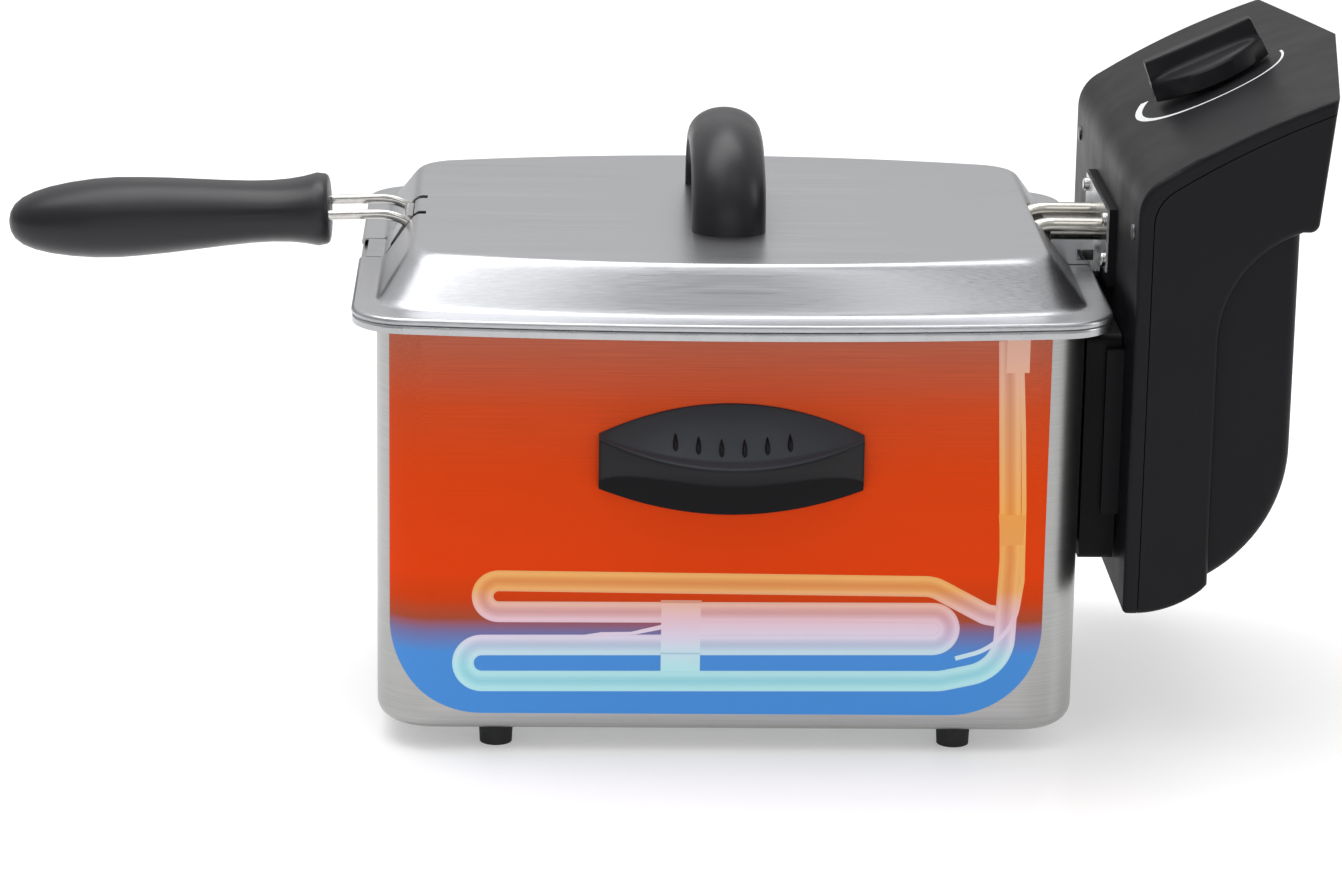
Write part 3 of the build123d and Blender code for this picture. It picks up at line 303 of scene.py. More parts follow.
def plated_steel(name, colour, light, rough):
    """Chrome or zinc over steel wire and screws: bright, faintly clouded."""
    material, tree, surface = finish(name, colour, metallic=1.0, roughness=rough)
    cloud = grain_noise(tree, (1, 1, 1), 4.0)
    tone(tree, cloud.outputs["Fac"], rough * 0.7, rough * 1.5, surface, "Roughness")
    shade(tree, cloud.outputs["Fac"], colour, light, surface)
    return material


def moulded_rubber(name):
    """Moulded black rubber: matt, dusty in patches."""
    material, tree, surface = finish(name, "#17181A", roughness=0.75, IOR=1.52)
    patches = grain_noise(tree, (1, 1, 1), 3.0)
    shade(tree, patches.outputs["Fac"], "#131415", "#1F2022", surface)
    tone(tree, patches.outputs["Fac"], 0.68, 0.85, surface, "Roughness")
    relief(tree, patches.outputs["Fac"], 0.03, surface, 0.5)
    return material


def fired_ceramic(name):
    """Steatite, pressed and fired: chalky cream with fine pores."""
    material, tree, surface = finish(name, "#D9D2C2", roughness=0.7, IOR=1.6)
    pores = grain_noise(tree, (1, 1, 1), 0.8)
    shade(tree, pores.outputs["Fac"], "#C9C0AE", "#E4DECF", surface)
    relief(tree, pores.outputs["Fac"], 0.03, surface, 0.5)
    return material


def turned_brass(name):
    """Brass bar turned in a lathe: warm, fine rings."""
    material, tree, surface = finish(name, "#B8934A", metallic=1.0, roughness=0.3)
    rings = grain_noise(tree, (0.1, 0.1, 6), 1.0)
    shade(tree, rings.outputs["Fac"], "#A8843F", "#CDA95E", surface)
    tone(tree, rings.outputs["Fac"], 0.2, 0.4, surface, "Roughness")
    return material


def printed_ink(name, colour, light):
    """Pad-printed ink on plastic: thin, flat, slightly uneven cover."""
    material, tree, surface = finish(name, colour, roughness=0.5, IOR=1.5)
    cover = grain_noise(tree, (1, 1, 1), 1.5)
    shade(tree, cover.outputs["Fac"], colour, light, surface)
    return material


FILM_LOW, FILM_TOP = 17.5, 181.6


def height_share(tree, low, high):
    """0 at height low and 1 at height high, in millimetres."""
    place = add_node(tree, "ShaderNodeTexCoord")
    split = add_node(tree, "ShaderNodeSeparateXYZ", [(place.outputs["Object"], "Vector")])
    return add_node(
        tree, "ShaderNodeMapRange", [(split.outputs["Z"], "Value")],
        in_From_Min=low * MM, in_From_Max=high * MM,
    )


def film_material():
    """The film's material, with the steel's brushing showing through near the top."""
    material = bpy.data.materials.new("polyester film, printed over brushed steel")
    material.use_nodes = True
    tree = material.node_tree
    surface = tree.nodes["Principled BSDF"]
    surface.inputs["IOR"].default_value = 1.5
    surface.inputs["Specular IOR Level"].default_value = 0.07
    surface.inputs["Roughness"].default_value = 0.38
    share = height_share(tree, FILM_LOW, FILM_TOP)
    ramp = add_node(tree, "ShaderNodeValToRGB", [(share.outputs[0], "Fac")])
    stops = [
        (0.0, "#4E95E2"), (0.16, "#4E92DE"), (0.215, "#7A74A4"), (0.25, "#A94E34"), (0.30, "#D0400C"),
        (0.37, "#E24004"), (0.62, "#DC4208"), (0.80, "#CB4A20"), (0.92, "#BA5A40"), (1.0, "#B06450"),
    ]
    colour_stops(ramp, stops)
    # brushing 0.6 mm apart shows only where the ink is thin
    lines = grain_noise(tree, (0.012, 1, 1), 0.6, detail=4.0)
    streak = add_node(
        tree, "ShaderNodeMapRange", [(lines.outputs["Fac"], "Value")],
        in_From_Min=0.3, in_From_Max=0.7, in_To_Min=0.80, in_To_Max=1.06,
    )
    thin = add_node(
        tree, "ShaderNodeMapRange", [(share.outputs[0], "Value")],
        in_From_Min=0.45, in_From_Max=1.0, in_To_Min=0.0, in_To_Max=1.0,
    )
    streaked = add_node(
        tree, "ShaderNodeMix", [(thin.outputs[0], 0), (ramp.outputs[0], 6), (streak.outputs[0], 7)],
        data_type="RGBA", blend_type="MULTIPLY",
    )
    tree.links.new(streaked.outputs[2], surface.inputs["Base Color"])
    metal = add_node(
        tree, "ShaderNodeMapRange", [(share.outputs[0], "Value")],
        in_From_Min=0.62, in_From_Max=1.0, in_To_Min=0.0, in_To_Max=0.55,
    )
    tree.links.new(metal.outputs[0], surface.inputs["Metallic"])
    relief(tree, lines.outputs["Fac"], 0.006, surface, 0.4)
    return material


def element_ink(name, top_level, low_level):
    """Printed tube: orange over pink to pale cyan downwards, light edges across its width."""
    material = bpy.data.materials.new(name)
    material.use_nodes = True
    tree = material.node_tree
    surface = tree.nodes["Principled BSDF"]
    surface.inputs["IOR"].default_value = 1.5
    surface.inputs["Specular IOR Level"].default_value = 0.2
    surface.inputs["Roughness"].default_value = 0.42
    share = height_share(tree, low_level, top_level)
    ramp = add_node(tree, "ShaderNodeValToRGB", [(share.outputs[0], "Fac")])
    stops = [
        (0.0, "#9FE0EA"), (0.12, "#A8E2EC"), (0.165, "#BCD8EA"), (0.205, "#D3C6E0"), (0.25, "#DDB2C0"),
        (0.30, "#E2A692"), (0.34, "#E89C58"), (0.55, "#EC9A48"), (0.80, "#DE9C6C"), (1.0, "#DCA08C"),
    ]
    colour_stops(ramp, stops)
    across = add_node(tree, "ShaderNodeAttribute", attribute_name="across")
    glow = add_node(tree, "ShaderNodeValToRGB", [(across.outputs["Fac"], "Fac")])
    bands = [
        (0.0, "#E4E4E4"), (0.16, "#F4F4F4"), (0.34, "#C0C0C0"), (0.50, "#9C9C9C"), (0.66, "#BCBCBC"),
        (0.84, "#EEEEEE"), (1.0, "#D8D8D8"),
    ]
    colour_stops(glow, bands)
    mixed = add_node(
        tree, "ShaderNodeMix", [(ramp.outputs[0], 6), (glow.outputs[0], 7)],
        data_type="RGBA", blend_type="SOFT_LIGHT", in_0=0.7,
    )
    tree.links.new(mixed.outputs[2], surface.inputs["Base Color"])
    return material


def paint_shade_and_top_light(material, colour):
    """Paints light and shade into a moulding's colour by its faces: a painted highlight on faces turned up,
    and painted shade with less specular on faces turned down and on upright faces in the recess by the wall.
    """
    tree = material.node_tree
    surface = tree.nodes["Principled BSDF"]
    facing = add_node(tree, "ShaderNodeNewGeometry")
    normal_parts = add_node(tree, "ShaderNodeSeparateXYZ", [(facing.outputs["Normal"], "Vector")])
    # painted shade on faces turned down
    down = add_node(
        tree, "ShaderNodeMapRange", [(normal_parts.outputs["Z"], "Value")],
        in_From_Min=-0.05, in_From_Max=-0.30, in_To_Min=0.0, in_To_Max=1.0,
    )
    place = add_node(tree, "ShaderNodeTexCoord")
    split = add_node(tree, "ShaderNodeSeparateXYZ", [(place.outputs["Object"], "Vector")])
    out = add_node(tree, "ShaderNodeMath", [(split.outputs["Y"], 0)], operation="ABSOLUTE")
    recess = add_node(
        tree, "ShaderNodeMapRange", [(out.outputs[0], "Value")],
        in_From_Min=(HALF_W + 5.0) * MM, in_From_Max=(HALF_W + 3.6) * MM, in_To_Min=0.0, in_To_Max=1.0,
    )
    upright = add_node(
        tree, "ShaderNodeMapRange", [(normal_parts.outputs["Z"], "Value")],
        in_From_Min=0.35, in_From_Max=0.15, in_To_Min=0.0, in_To_Max=1.0,
    )
    # painted shade in the recess by the wall, on upright faces only
    painted_recess_shade = add_node(
        tree, "ShaderNodeMath", [(recess.outputs[0], 0), (upright.outputs[0], 1)], operation="MULTIPLY",
    )
    painted_shade_mask = add_node(
        tree, "ShaderNodeMath", [(down.outputs[0], 0), (painted_recess_shade.outputs[0], 1)], operation="MAXIMUM",
    )
    # painted highlight: faces turned up are lightened towards #383B40
    above = add_node(
        tree, "ShaderNodeMapRange", [(normal_parts.outputs["Z"], "Value")], in_From_Min=0.25, in_From_Max=0.6,
    )
    before = surface.inputs["Base Color"].links[0].from_socket
    painted_top_light = add_node(tree, "ShaderNodeMix", [(above.outputs[0], 0), (before, 6)], data_type="RGBA")
    painted_top_light.inputs[7].default_value = linear("#383B40")
    # painted shade: the masked faces take the given dark colour
    mixed = add_node(tree, "ShaderNodeMix", [(painted_shade_mask.outputs[0], 0), (painted_top_light.outputs[2], 6)], data_type="RGBA")
    mixed.inputs[7].default_value = linear(colour)
    tree.links.new(mixed.outputs[2], surface.inputs["Base Color"])
    # less specular where the painted shade lies
    gloss = add_node(
        tree, "ShaderNodeMapRange", [(painted_shade_mask.outputs[0], "Value")], in_To_Min=0.22, in_To_Max=0.10,
    )
    tree.links.new(gloss.outputs[0], surface.inputs["Specular IOR Level"])


# how far a pattern is drawn out along x, y and z: small numbers make long lines
ALL_ROUND = (0.006, 0.006, 1)
LONG_X = (0.004, 1, 1)
lid_steel = brushed_stainless(
    "stainless steel, belt-brushed lid", LONG_X, "#A8A9AC", "#BEBFC2", (0.27, 0.37), 0.0022,
)
wall_steel = brushed_stainless(
    "stainless steel, brushed housing", ALL_ROUND, "#A2A2A1", "#B0B0AF", (0.33, 0.39), 0.0012,
)
tank_steel = drawn_stainless("stainless steel, drawn tank", "#A9AAAC", "#B7B8BA", 0.27)
sheet_steel = drawn_stainless("stainless steel, pressed sheet", "#AEAFB1", "#BEBFC1", 0.24)
tube_steel = drawn_stainless("stainless steel, drawn tube", "#A5A29B", "#B8B5AE", 0.2)
bright_wire = plated_steel("chrome, plated on wire", "#B4B2AE", "#CFCDC9", 0.12)
screw_zinc = plated_steel("zinc, plated on screws", "#B9B9B6", "#D8D8D4", 0.2)
dark_screw = plated_steel("zinc, blackened on screws", "#58595C", "#77787C", 0.3)
base_zinc = plated_steel("zinc, dipped on sheet", "#A4A7A8", "#C2C5C6", 0.42)
copper_nickel = plated_steel("nickel, plated on copper", "#B8AFA2", "#CFC8BC", 0.2)
case_plastic = moulded_plastic("polypropylene, grained moulding", "#0E0D11", "#151418", 0.44)
grip_plastic = moulded_plastic(
    "phenolic resin, compression-moulded", "#17161B", "#1E1D23", 0.36, 1.2, 0.008, 0.36,
)
handle_plastic_painted_light = moulded_plastic(
    "phenolic resin, grained moulding", "#131316", "#19191D", 0.36, 0.9, 0.010, 0.22,
)
# painted shade #101013 under the side handles and in their recess, and a painted highlight on their tops
paint_shade_and_top_light(handle_plastic_painted_light, "#101013")
knob_plastic = moulded_plastic("ABS, satin moulding", "#100F13", "#161519", 0.34, 1.0, 0.01)
rail_plastic = moulded_plastic("polypropylene, ribbed moulding", "#0B0A0D", "#111013", 0.5)
button_plastic = moulded_plastic("ABS, red moulding", "#7A1512", "#93201A", 0.35, 1.0, 0.006)
pale_plastic = moulded_plastic("acetal, natural moulding", "#C9C7BE", "#DCDAD2", 0.4, 1.0, 0.006)
foot_rubber = moulded_rubber("rubber, moulded")
ceramic = fired_ceramic("steatite, fired")
brass = turned_brass("brass, turned")
white_ink = printed_ink("white ink, pad-printed", "#DADCDD", "#F2F3F3")

FINISHES = {
    "housing_shell": wall_steel, "base_plate": base_zinc, "rubber_feet": foot_rubber,
    "foot_screws": screw_zinc, "side_handle_near": handle_plastic_painted_light, "side_handle_far": handle_plastic_painted_light,
    "side_handle_screws": screw_zinc, "front_graphic_film": film_material(),
    "guide_rail": rail_plastic, "guide_rail_screws": screw_zinc, "oil_tank": tank_steel,
    "heating_element": tube_steel, "element_clips": sheet_steel, "riser_clamps": sheet_steel,
    "thermostat_bulb": copper_nickel, "limiter_bulb": copper_nickel, "element_bracket": sheet_steel,
    "element_flange": sheet_steel, "flange_pad": case_plastic, "flange_screws": screw_zinc,
    "control_front_shell": case_plastic, "control_rear_shell": case_plastic, "cord_store": case_plastic,
    "cord_gland": foot_rubber, "shell_screws": dark_screw, "thermostat_body": ceramic,
    "thermostat_shaft": brass, "thermostat_knob": knob_plastic, "thermal_cutout": ceramic,
    "reset_button": button_plastic, "terminal_block": ceramic, "safety_switch": case_plastic,
    "switch_plunger": pale_plastic, "basket_mesh": bright_wire, "basket_rim": bright_wire,
    "basket_bracket": sheet_steel, "handle_wires": bright_wire, "handle_grip": grip_plastic,
    "lid_shell": lid_steel, "lid_handle": grip_plastic, "lid_handle_screws": screw_zinc,
}
for node_name, material in FINISHES.items():
    slots = nodes[node_name].data.materials
    slots.clear()
    slots.append(material)


# ---------------------------------------------------------------- lid
def bowed_ring(reach_l, reach_w, bow, radius, z):
    """Outline with bowed long sides and rounded corners, one ring of places."""
    big = (reach_l**2 + bow**2) / (2 * bow)
    centre_y = -reach_w - bow + big
    corner_x = reach_l - radius
    corner_y = centre_y - sqrt((big - radius) ** 2 - corner_x**2)
    lean = asin(corner_x / (big - radius))
    half = []
    for k in range(41):
        a = lean * (2 * k / 40 - 1)
        half.append((big * sin(a), centre_y - big * cos(a)))
    for k in range(1, 11):
        a = -pi / 2 + lean + (pi / 2 - lean) * k / 10
        half.append((corner_x + radius * cos(a), corner_y + radius * sin(a)))
    right = [(reach_l, corner_y * (1 - 2 * k / 16)) for k in range(1, 16)]
    left = [(-x, -y) for x, y in right]
    near_left = [(-x, y) for x, y in reversed(half[41:])]
    full = near_left + half + right + [(x, -y) for x, y in reversed(near_left + half)] + left
    return [spot(x, y, z) for x, y in full]


def lid_profile():
    """Lid section from the middle of the crown out to the edge and back underneath."""
    # outlines as (half length, half width, bow, corner radius)
    base = (144.5, 106.5, RIM_BOW, 22.0)
    top = (131.3, 88.0, 17.0, 17.0)
    overhang = 0.3
    rim = (RIM_L + overhang, RIM_W + overhang, RIM_BOW, 24.0)
    sheet = 0.7

    def slope(share, z, inset=0.0):
        """Outline between the foot of the dome at 0 and its shoulder at 1."""
        sizes = [b + (t - b) * share for b, t in zip(base, top)]
        return (sizes[0] - inset, sizes[1] - inset, sizes[2], max(2.0, sizes[3] - inset), z)

    def flange(share, z, inset=0.0):
        """Outline between the foot of the dome at 0 and the lid's edge at 1."""
        sizes = [b + (r - b) * share for b, r in zip(base, rim)]
        return (sizes[0] - inset, sizes[1] - inset, sizes[2], max(2.0, sizes[3] - inset), z)

    def crease(start, corner, end, steps=6):
        """Outlines round a soft bend."""
        for k in range(steps + 1):
            t = k / steps
            from_start, from_corner, from_end = (1 - t) ** 2, 2 * t * (1 - t), t**2
            yield tuple(
                a * from_start + c * from_corner + b * from_end for a, c, b in zip(start, corner, end)
            )

    out = [slope(1.30, CROWN), slope(1.22, CROWN)]
    out += crease(slope(1.18, CROWN), slope(1.0, CROWN), slope(0.80, CROWN - 0.2 * LID_RISE))
    out += [slope(s, LID_EDGE + s * LID_RISE) for s in (0.6, 0.4, 0.25)]
    out += crease(slope(0.13, LID_EDGE + 0.13 * LID_RISE), slope(0.0, LID_EDGE), flange(0.14, LID_EDGE), 5)
    out += [flange(s, LID_EDGE) for s in (0.4, 0.7)]
    edge = 1.5
    for k in range(7):
        a = pi / 2 * k / 6
        out.append(flange(1.0, LID_EDGE - edge + edge * cos(a), edge - edge * sin(a)))
    skirt = TANK_TOP + 0.1
    out.append(flange(1.0, skirt + 0.3))
    out.append(flange(1.0, skirt, 0.3))
    out.append(flange(1.0, skirt, 0.8))
    out.append(flange(1.0, LID_EDGE - 1.6, 0.9))
    out.append(flange(1.0, LID_EDGE - sheet, 1.8))
    out += [flange(s, LID_EDGE - sheet) for s in (0.6, 0.14)]
    out += [slope(s, LID_EDGE - sheet + s * LID_RISE, 0.7) for s in (0.1, 0.4, 0.8)]
    out += [slope(1.05, CROWN - sheet, 0.7), slope(1.3, CROWN - sheet)]
    return out


def make_lid():
    """Pressed lid with room for the basket's bracket, its wires and the heating tubes."""
    rings = [bowed_ring(*sizes) for sizes in lid_profile()]
    lid = piece("lid_pressing", *skin(rings), "lid", "lid_shell")
    under, over = 180, 215    # heights below the lid's skirt and above its crown
    outside = 170             # past both ends of the lid
    wire_in, wire_out = 12.2, 17.6
    notches = [
        # the bracket and the wires come in through the end
        block(-outside, -131.8, -17.2, 17.2, under, over),
        block(-140.5, -128.2, -18.3, 18.3, under, 205.4),
        # the wires swing up through these two slots when the handle folds
        block(-140.5, -126.6, -wire_out, -wire_in, under, over),
        block(-140.5, -126.6, wire_in, wire_out, under, over),
        # the heating tubes
        block(130.3, outside, -22, 22, under, over),
    ]
    for notch in notches:
        cut(lid, notch)
    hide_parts("lid_shell")
    lid.data.materials.clear()
    lid.data.materials.append(lid_steel)


make_lid()


# ---------------------------------------------------------------- lid handle
def make_lid_handle():
    """Arched grip: domed outside, flat inside, standing on the crown."""
    low, high = reach("lid_handle")
    half_out, rise = high.y, high.z - CROWN
    thick = 14.5
    half_x = (high.x - low.x) / 2
    # the flat underside with its eased edges, as (share of the half width, share of the thickness)
    eased = ((0.985, 0.05), (0.94, 0.012), (0.86, 0.0))
    under_side = [(-x, h) for x, h in eased] + [(0.0, -0.01)] + list(reversed(eased))
    rings = []
    turns = 48
    for k in range(turns + 1):
        a = pi * k / turns
        # a little squarer than an ellipse, so the legs stand upright
        ca = abs(cos(a)) ** 0.86 * (1 if cos(a) >= 0 else -1)
        sa = sin(a) ** 0.86
        outer = Vector((0, -half_out * ca, rise * sa))
        inner = Vector((0, -(half_out - thick) * ca, (rise - thick) * sa))
        ring = []
        for i in range(21):
            b = pi * i / 20
            h = 0.13 + 0.87 * sin(b) ** 0.9
            ring.append(inner + (outer - inner) * h + Vector((half_x * cos(b), 0, 0)))
        for share_x, h in under_side:
            ring.append(inner + (outer - inner) * h + Vector((half_x * share_x, 0, 0)))
        rings.append([spot(p.x, p.y, CROWN + p.z) for p in ring])
    handle = piece("lid_grip", *skin(rings), "lid", "lid_handle", 50)
    handle.data.materials.append(grip_plastic)
    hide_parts("lid_handle")


make_lid_handle()


# ---------------------------------------------------------------- side handles
HANDLE_L, HANDLE_H = 108.0, 46.7
HANDLE_OUT = 24.0     # how far the lip stands off the wall
HANDLE_Z = 127.6      # height of the handle's middle
NUB_PITCH, NUB_L, NUB_R = 9.3, 8.4, 1.25


def handle_corners(share):
    """Corners of the side handle's upright section, from the wall outwards, as (y, z)."""
    full = 1 - share**2
    top = HANDLE_Z + 0.22 * HANDLE_H + 0.28 * HANDLE_H * full
    low = HANDLE_Z - 0.27 * HANDLE_H - 0.23 * HANDLE_H * full
    lip_y = -(HALF_W + 4.0 + (HANDLE_OUT - 4.0) * full)
    lip_z = top - 1.5 - 20.0 * full
    band = 8.0 + 10.0 * abs(share) ** 4
    back = -(HALF_W + 3.2)
    wall = -HALF_W
    dish_y = wall + (lip_y - wall) * 0.80
    dish_z = top + (lip_z - top) * 0.80 - 2.4 * full
    under = lip_z - band + 9.5 * full - 0.5
    return [
        (wall, top), (wall - 1.2, top - 0.2), (dish_y, dish_z), (lip_y, lip_z),
        (lip_y + 0.8 * full, lip_z - band), (back, under), (back, low), (wall, low),
    ]


def handle_nub(offset, side):
    """One raised drop on the handle's dish, offset counted in pitches from the middle."""
    x = offset * NUB_PITCH
    corners = [Vector(c) for c in handle_corners(x / (HANDLE_L / 2))]
    start, end = corners[1], corners[2]
    along = (end - start).normalized()
    out = Vector((-along.y, along.x)) * (1 if -along.y < 0 else -1)
    foot = start + (end - start) * (0.93 - 0.06 * abs(offset) / 2.5)
    rings = []
    for j in range(9):
        t = j / 8
        wide = NUB_R * sqrt(max(0.02, 1 - (2 * t - 1) ** 2)) * (1.2 - 0.75 * t)
        middle = foot - along * (NUB_L * t)
        ring = []
        for i in range(12):
            b = tau * i / 12
            p = middle + out * (wide * 1.1 * sin(b))
            ring.append(spot(x + wide * cos(b), side * p.x, p.y))
        rings.append(ring)
    return skin(rings)


def make_side_handle(name, node, side):
    """Moulded grip with a dished top, a lip and a row of nubs; side is 1 on the near wall."""
    rings = []
    stations = 56
    for k in range(stations + 1):
        share = -1 + 2 * k / stations
        outline = softened(handle_corners(share), [0.4, 0.8, 1.2, 1.6, 1.4, 2.0, 1.0, 0.3])
        rings.append([spot(share * HANDLE_L / 2, side * p.x, p.y) for p in outline])
    handle = piece(name, *skin(rings), "housing", node, 30)
    handle.data.materials.append(handle_plastic_painted_light)
    nubs = [handle_nub(offset, side) for offset in (-2.5, -1.5, -0.5, 0.5, 1.5, 2.5)]
    grip_nubs = piece(name + "_nubs", *merge(nubs), "housing", node, 60)
    grip_nubs.data.materials.append(knob_plastic)
    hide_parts(node)


make_side_handle("side_grip_near", "side_handle_near", 1)
make_side_handle("side_grip_far", "side_handle_far", -1)


# ---------------------------------------------------------------- thermostat knob
KNOB_AT = Vector((206.0, 0.0, 264.2))
LEAN_ALONG, LEAN_UP = 0.91, 0.4147    # the slope's direction at the knob
UP_SLOPE = Vector((LEAN_ALONG, 0.0, LEAN_UP)).normalized()
OFF_SLOPE = Vector((-LEAN_UP, 0.0, LEAN_ALONG)).normalized()


def on_slope(along, across, off):
    """A place on the head's slope: along it, across it and off it, from the knob's middle."""
    p = KNOB_AT + UP_SLOPE * along + Vector((0, across, 0)) + OFF_SLOPE * off
    return spot(p.x, p.y, p.z)


def make_knob():
    """Boat-shaped skirt with a full-length finger bar."""
    # (half length, half width at the ends, how much wider in the middle, height off the slope)
    levels = [
        (25.3, 5.4, 13.4, 1.7), (25.4, 5.6, 13.6, 2.2), (25.1, 5.4, 13.2, 8.6), (24.9, 5.1, 12.7, 9.5),
        (24.7, 4.9, 11.9, 10.0), (24.6, 4.7, 9.0, 10.6), (24.6, 4.5, 4.6, 11.2), (24.5, 4.4, 2.2, 12.0),
        (24.4, 4.2, 1.1, 13.4), (24.1, 3.6, 0.6, 17.8), (23.9, 3.3, 0.5, 18.6), (23.4, 2.8, 0.4, 19.0),
    ]
    rings = []
    for half, ends, belly, height in levels:
        ring = []
        count = 28
        for k in range(count + 1):
            s = -1 + 2 * k / count
            ring.append((half * s, -(ends + belly * (1 - s * s))))
        ring += [(half + 0.25, 0.0)]
        ring += [(a, -b) for a, b in reversed(ring[:count + 1])]
        ring += [(-half - 0.25, 0.0)]
        rings.append([on_slope(a, b, height) for a, b in ring])
    knob = piece("temperature_knob", *skin(rings), "knob", "thermostat_knob", 32)
    knob.data.materials.append(knob_plastic)
    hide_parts("thermostat_knob")


make_knob()


def slope_height(x):
    """Height of the head's curved slope at x."""
    # the slope is an arc through its upper end, the knob's seat and its lower end
    a, b, c = Vector((268.0, 287.3)), Vector((KNOB_AT.x, KNOB_AT.z)), Vector((162.5, 239.1))
    d = 2 * (a.x * (b.y - c.y) + b.x * (c.y - a.y) + c.x * (a.y - b.y))
    squares = [p.length_squared for p in (a, b, c)]
    cx = (squares[0] * (b.y - c.y) + squares[1] * (c.y - a.y) + squares[2] * (a.y - b.y)) / d
    cy = (squares[0] * (c.x - b.x) + squares[1] * (a.x - c.x) + squares[2] * (b.x - a.x)) / d
    radius = (a - Vector((cx, cy))).length
    return cy + sqrt(radius**2 - (x - cx) ** 2)


def make_scale_mark():
    """Printed mark round the knob that thickens towards the hot end."""
    above, sunk = 0.06, 0.3
    rings = []
    steps = 90
    for k in range(steps + 1):
        t = k / steps
        a = radians(4 - 216 * t)
        middle = 31.5 + 2.2 * t
        wide = 0.55 + 1.3 * max(0.0, (t - 0.42) / 0.58) ** 1.4
        ring = []
        inner, outer = middle - wide, middle + wide
        for radius, lift in ((inner, above), (outer, above), (outer, -sunk), (inner, -sunk)):
            x = KNOB_AT.x + radius * cos(a) * UP_SLOPE.x
            ring.append(spot(x, radius * sin(a), slope_height(x) + lift))
        rings.append(ring)
    mark = piece("heat_scale_mark", *skin(rings), "control_head", "control_front_shell")
    mark.data.materials.append(white_ink)


make_scale_mark()


# ---------------------------------------------------------------- basket handle grip
GRIP_START = Vector((-167.7, 0.0, 204.9))
GRIP_DROOP = 0.0506    # slope of the grip's middle line down towards its tip
# the drawn shape is 139.2 long and is fitted to the CAD grip's length
GRIP_SHARE = (GRIP_START.x - reach("handle_grip")[0].x) / 139.2


def make_grip():
    """Moulded grip: slim neck behind the flared end, full belly, rounded tip."""
    along = Vector((-0.99872, 0.0, -GRIP_DROOP)).normalized()
    up = Vector((-GRIP_DROOP, 0.0, 0.99872)).normalized()
    # (distance from the wires' end, half width, half height)
    shape = [
        (0.0, 19.6, 12.2), (0.5, 20.6, 13.6), (1.6, 21.2, 14.4), (3.4, 21.4, 14.7), (5.2, 21.4, 15.0),
        (7.0, 21.2, 14.6), (11, 20.6, 13.7), (17, 19.9, 12.9), (25, 19.4, 12.5), (34, 19.3, 12.7),
        (46, 19.6, 13.5), (58, 20.2, 14.5), (70, 20.8, 15.5), (82, 21.4, 16.2), (92, 21.6, 16.6),
        (102, 21.2, 16.3), (112, 20.2, 15.3), (121, 18.5, 13.8), (128, 16.2, 11.9), (133, 13.4, 9.8),
        (136.4, 9.8, 7.2), (138.2, 6.0, 4.4), (138.9, 2.4, 1.8),
    ]
    rings = []
    for distance, half_y, half_z in shape:
        middle = GRIP_START + along * distance * GRIP_SHARE
        ring = []
        for i in range(64):
            b = tau * i / 64
            c, s = cos(b), sin(b)
            # a touch squarer than an ellipse
            y = half_y * abs(c) ** 0.92 * (1 if c >= 0 else -1)
            z = half_z * abs(s) ** 0.92 * (1 if s >= 0 else -1)
            p = middle + Vector((0, y, 0)) + up * z
            ring.append(spot(p.x, p.y, p.z))
        rings.append(ring)
    grip = piece("basket_grip", *skin(rings), "basket_handle", "handle_grip", 45)
    grip.data.materials.append(grip_plastic)
    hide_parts("handle_grip")


make_grip()


def make_handle_wires():
    """Two bent wires from the grip to the hinge, hooked inwards at their ends."""
    high = reach("handle_wires")[1]
    radius = 2.1
    line_z = high.z - radius
    paths = []
    for side in (-1, 1):
        y = side * (high.y - radius)
        start, bend, hinge = Vector((-148.0, line_z)), Vector((-138.5, line_z + 0.1)), Vector((-133.5, 201.8))
        path = [(-190.0, y, line_z - 1.6), (-168.0, y, line_z - 0.6)]
        for k in range(11):
            t = k / 10
            p = start * (1 - t) ** 2 + bend * 2 * t * (1 - t) + hinge * t**2
            path.append((p.x, y, p.y))
        for k in range(1, 6):
            a = pi / 2 * k / 5
            path.append((hinge.x, y - side * 2.6 * (1 - cos(a)), hinge.y - 0.3 * sin(a)))
        path.append((hinge.x, side * 3.0, hinge.y - 0.3))
        paths.append(path)
    bent = wires("bent_handle_wires", paths, radius, "basket_handle", "handle_wires", sides=16)
    bent.data.materials.append(bright_wire)
    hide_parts("handle_wires")


make_handle_wires()


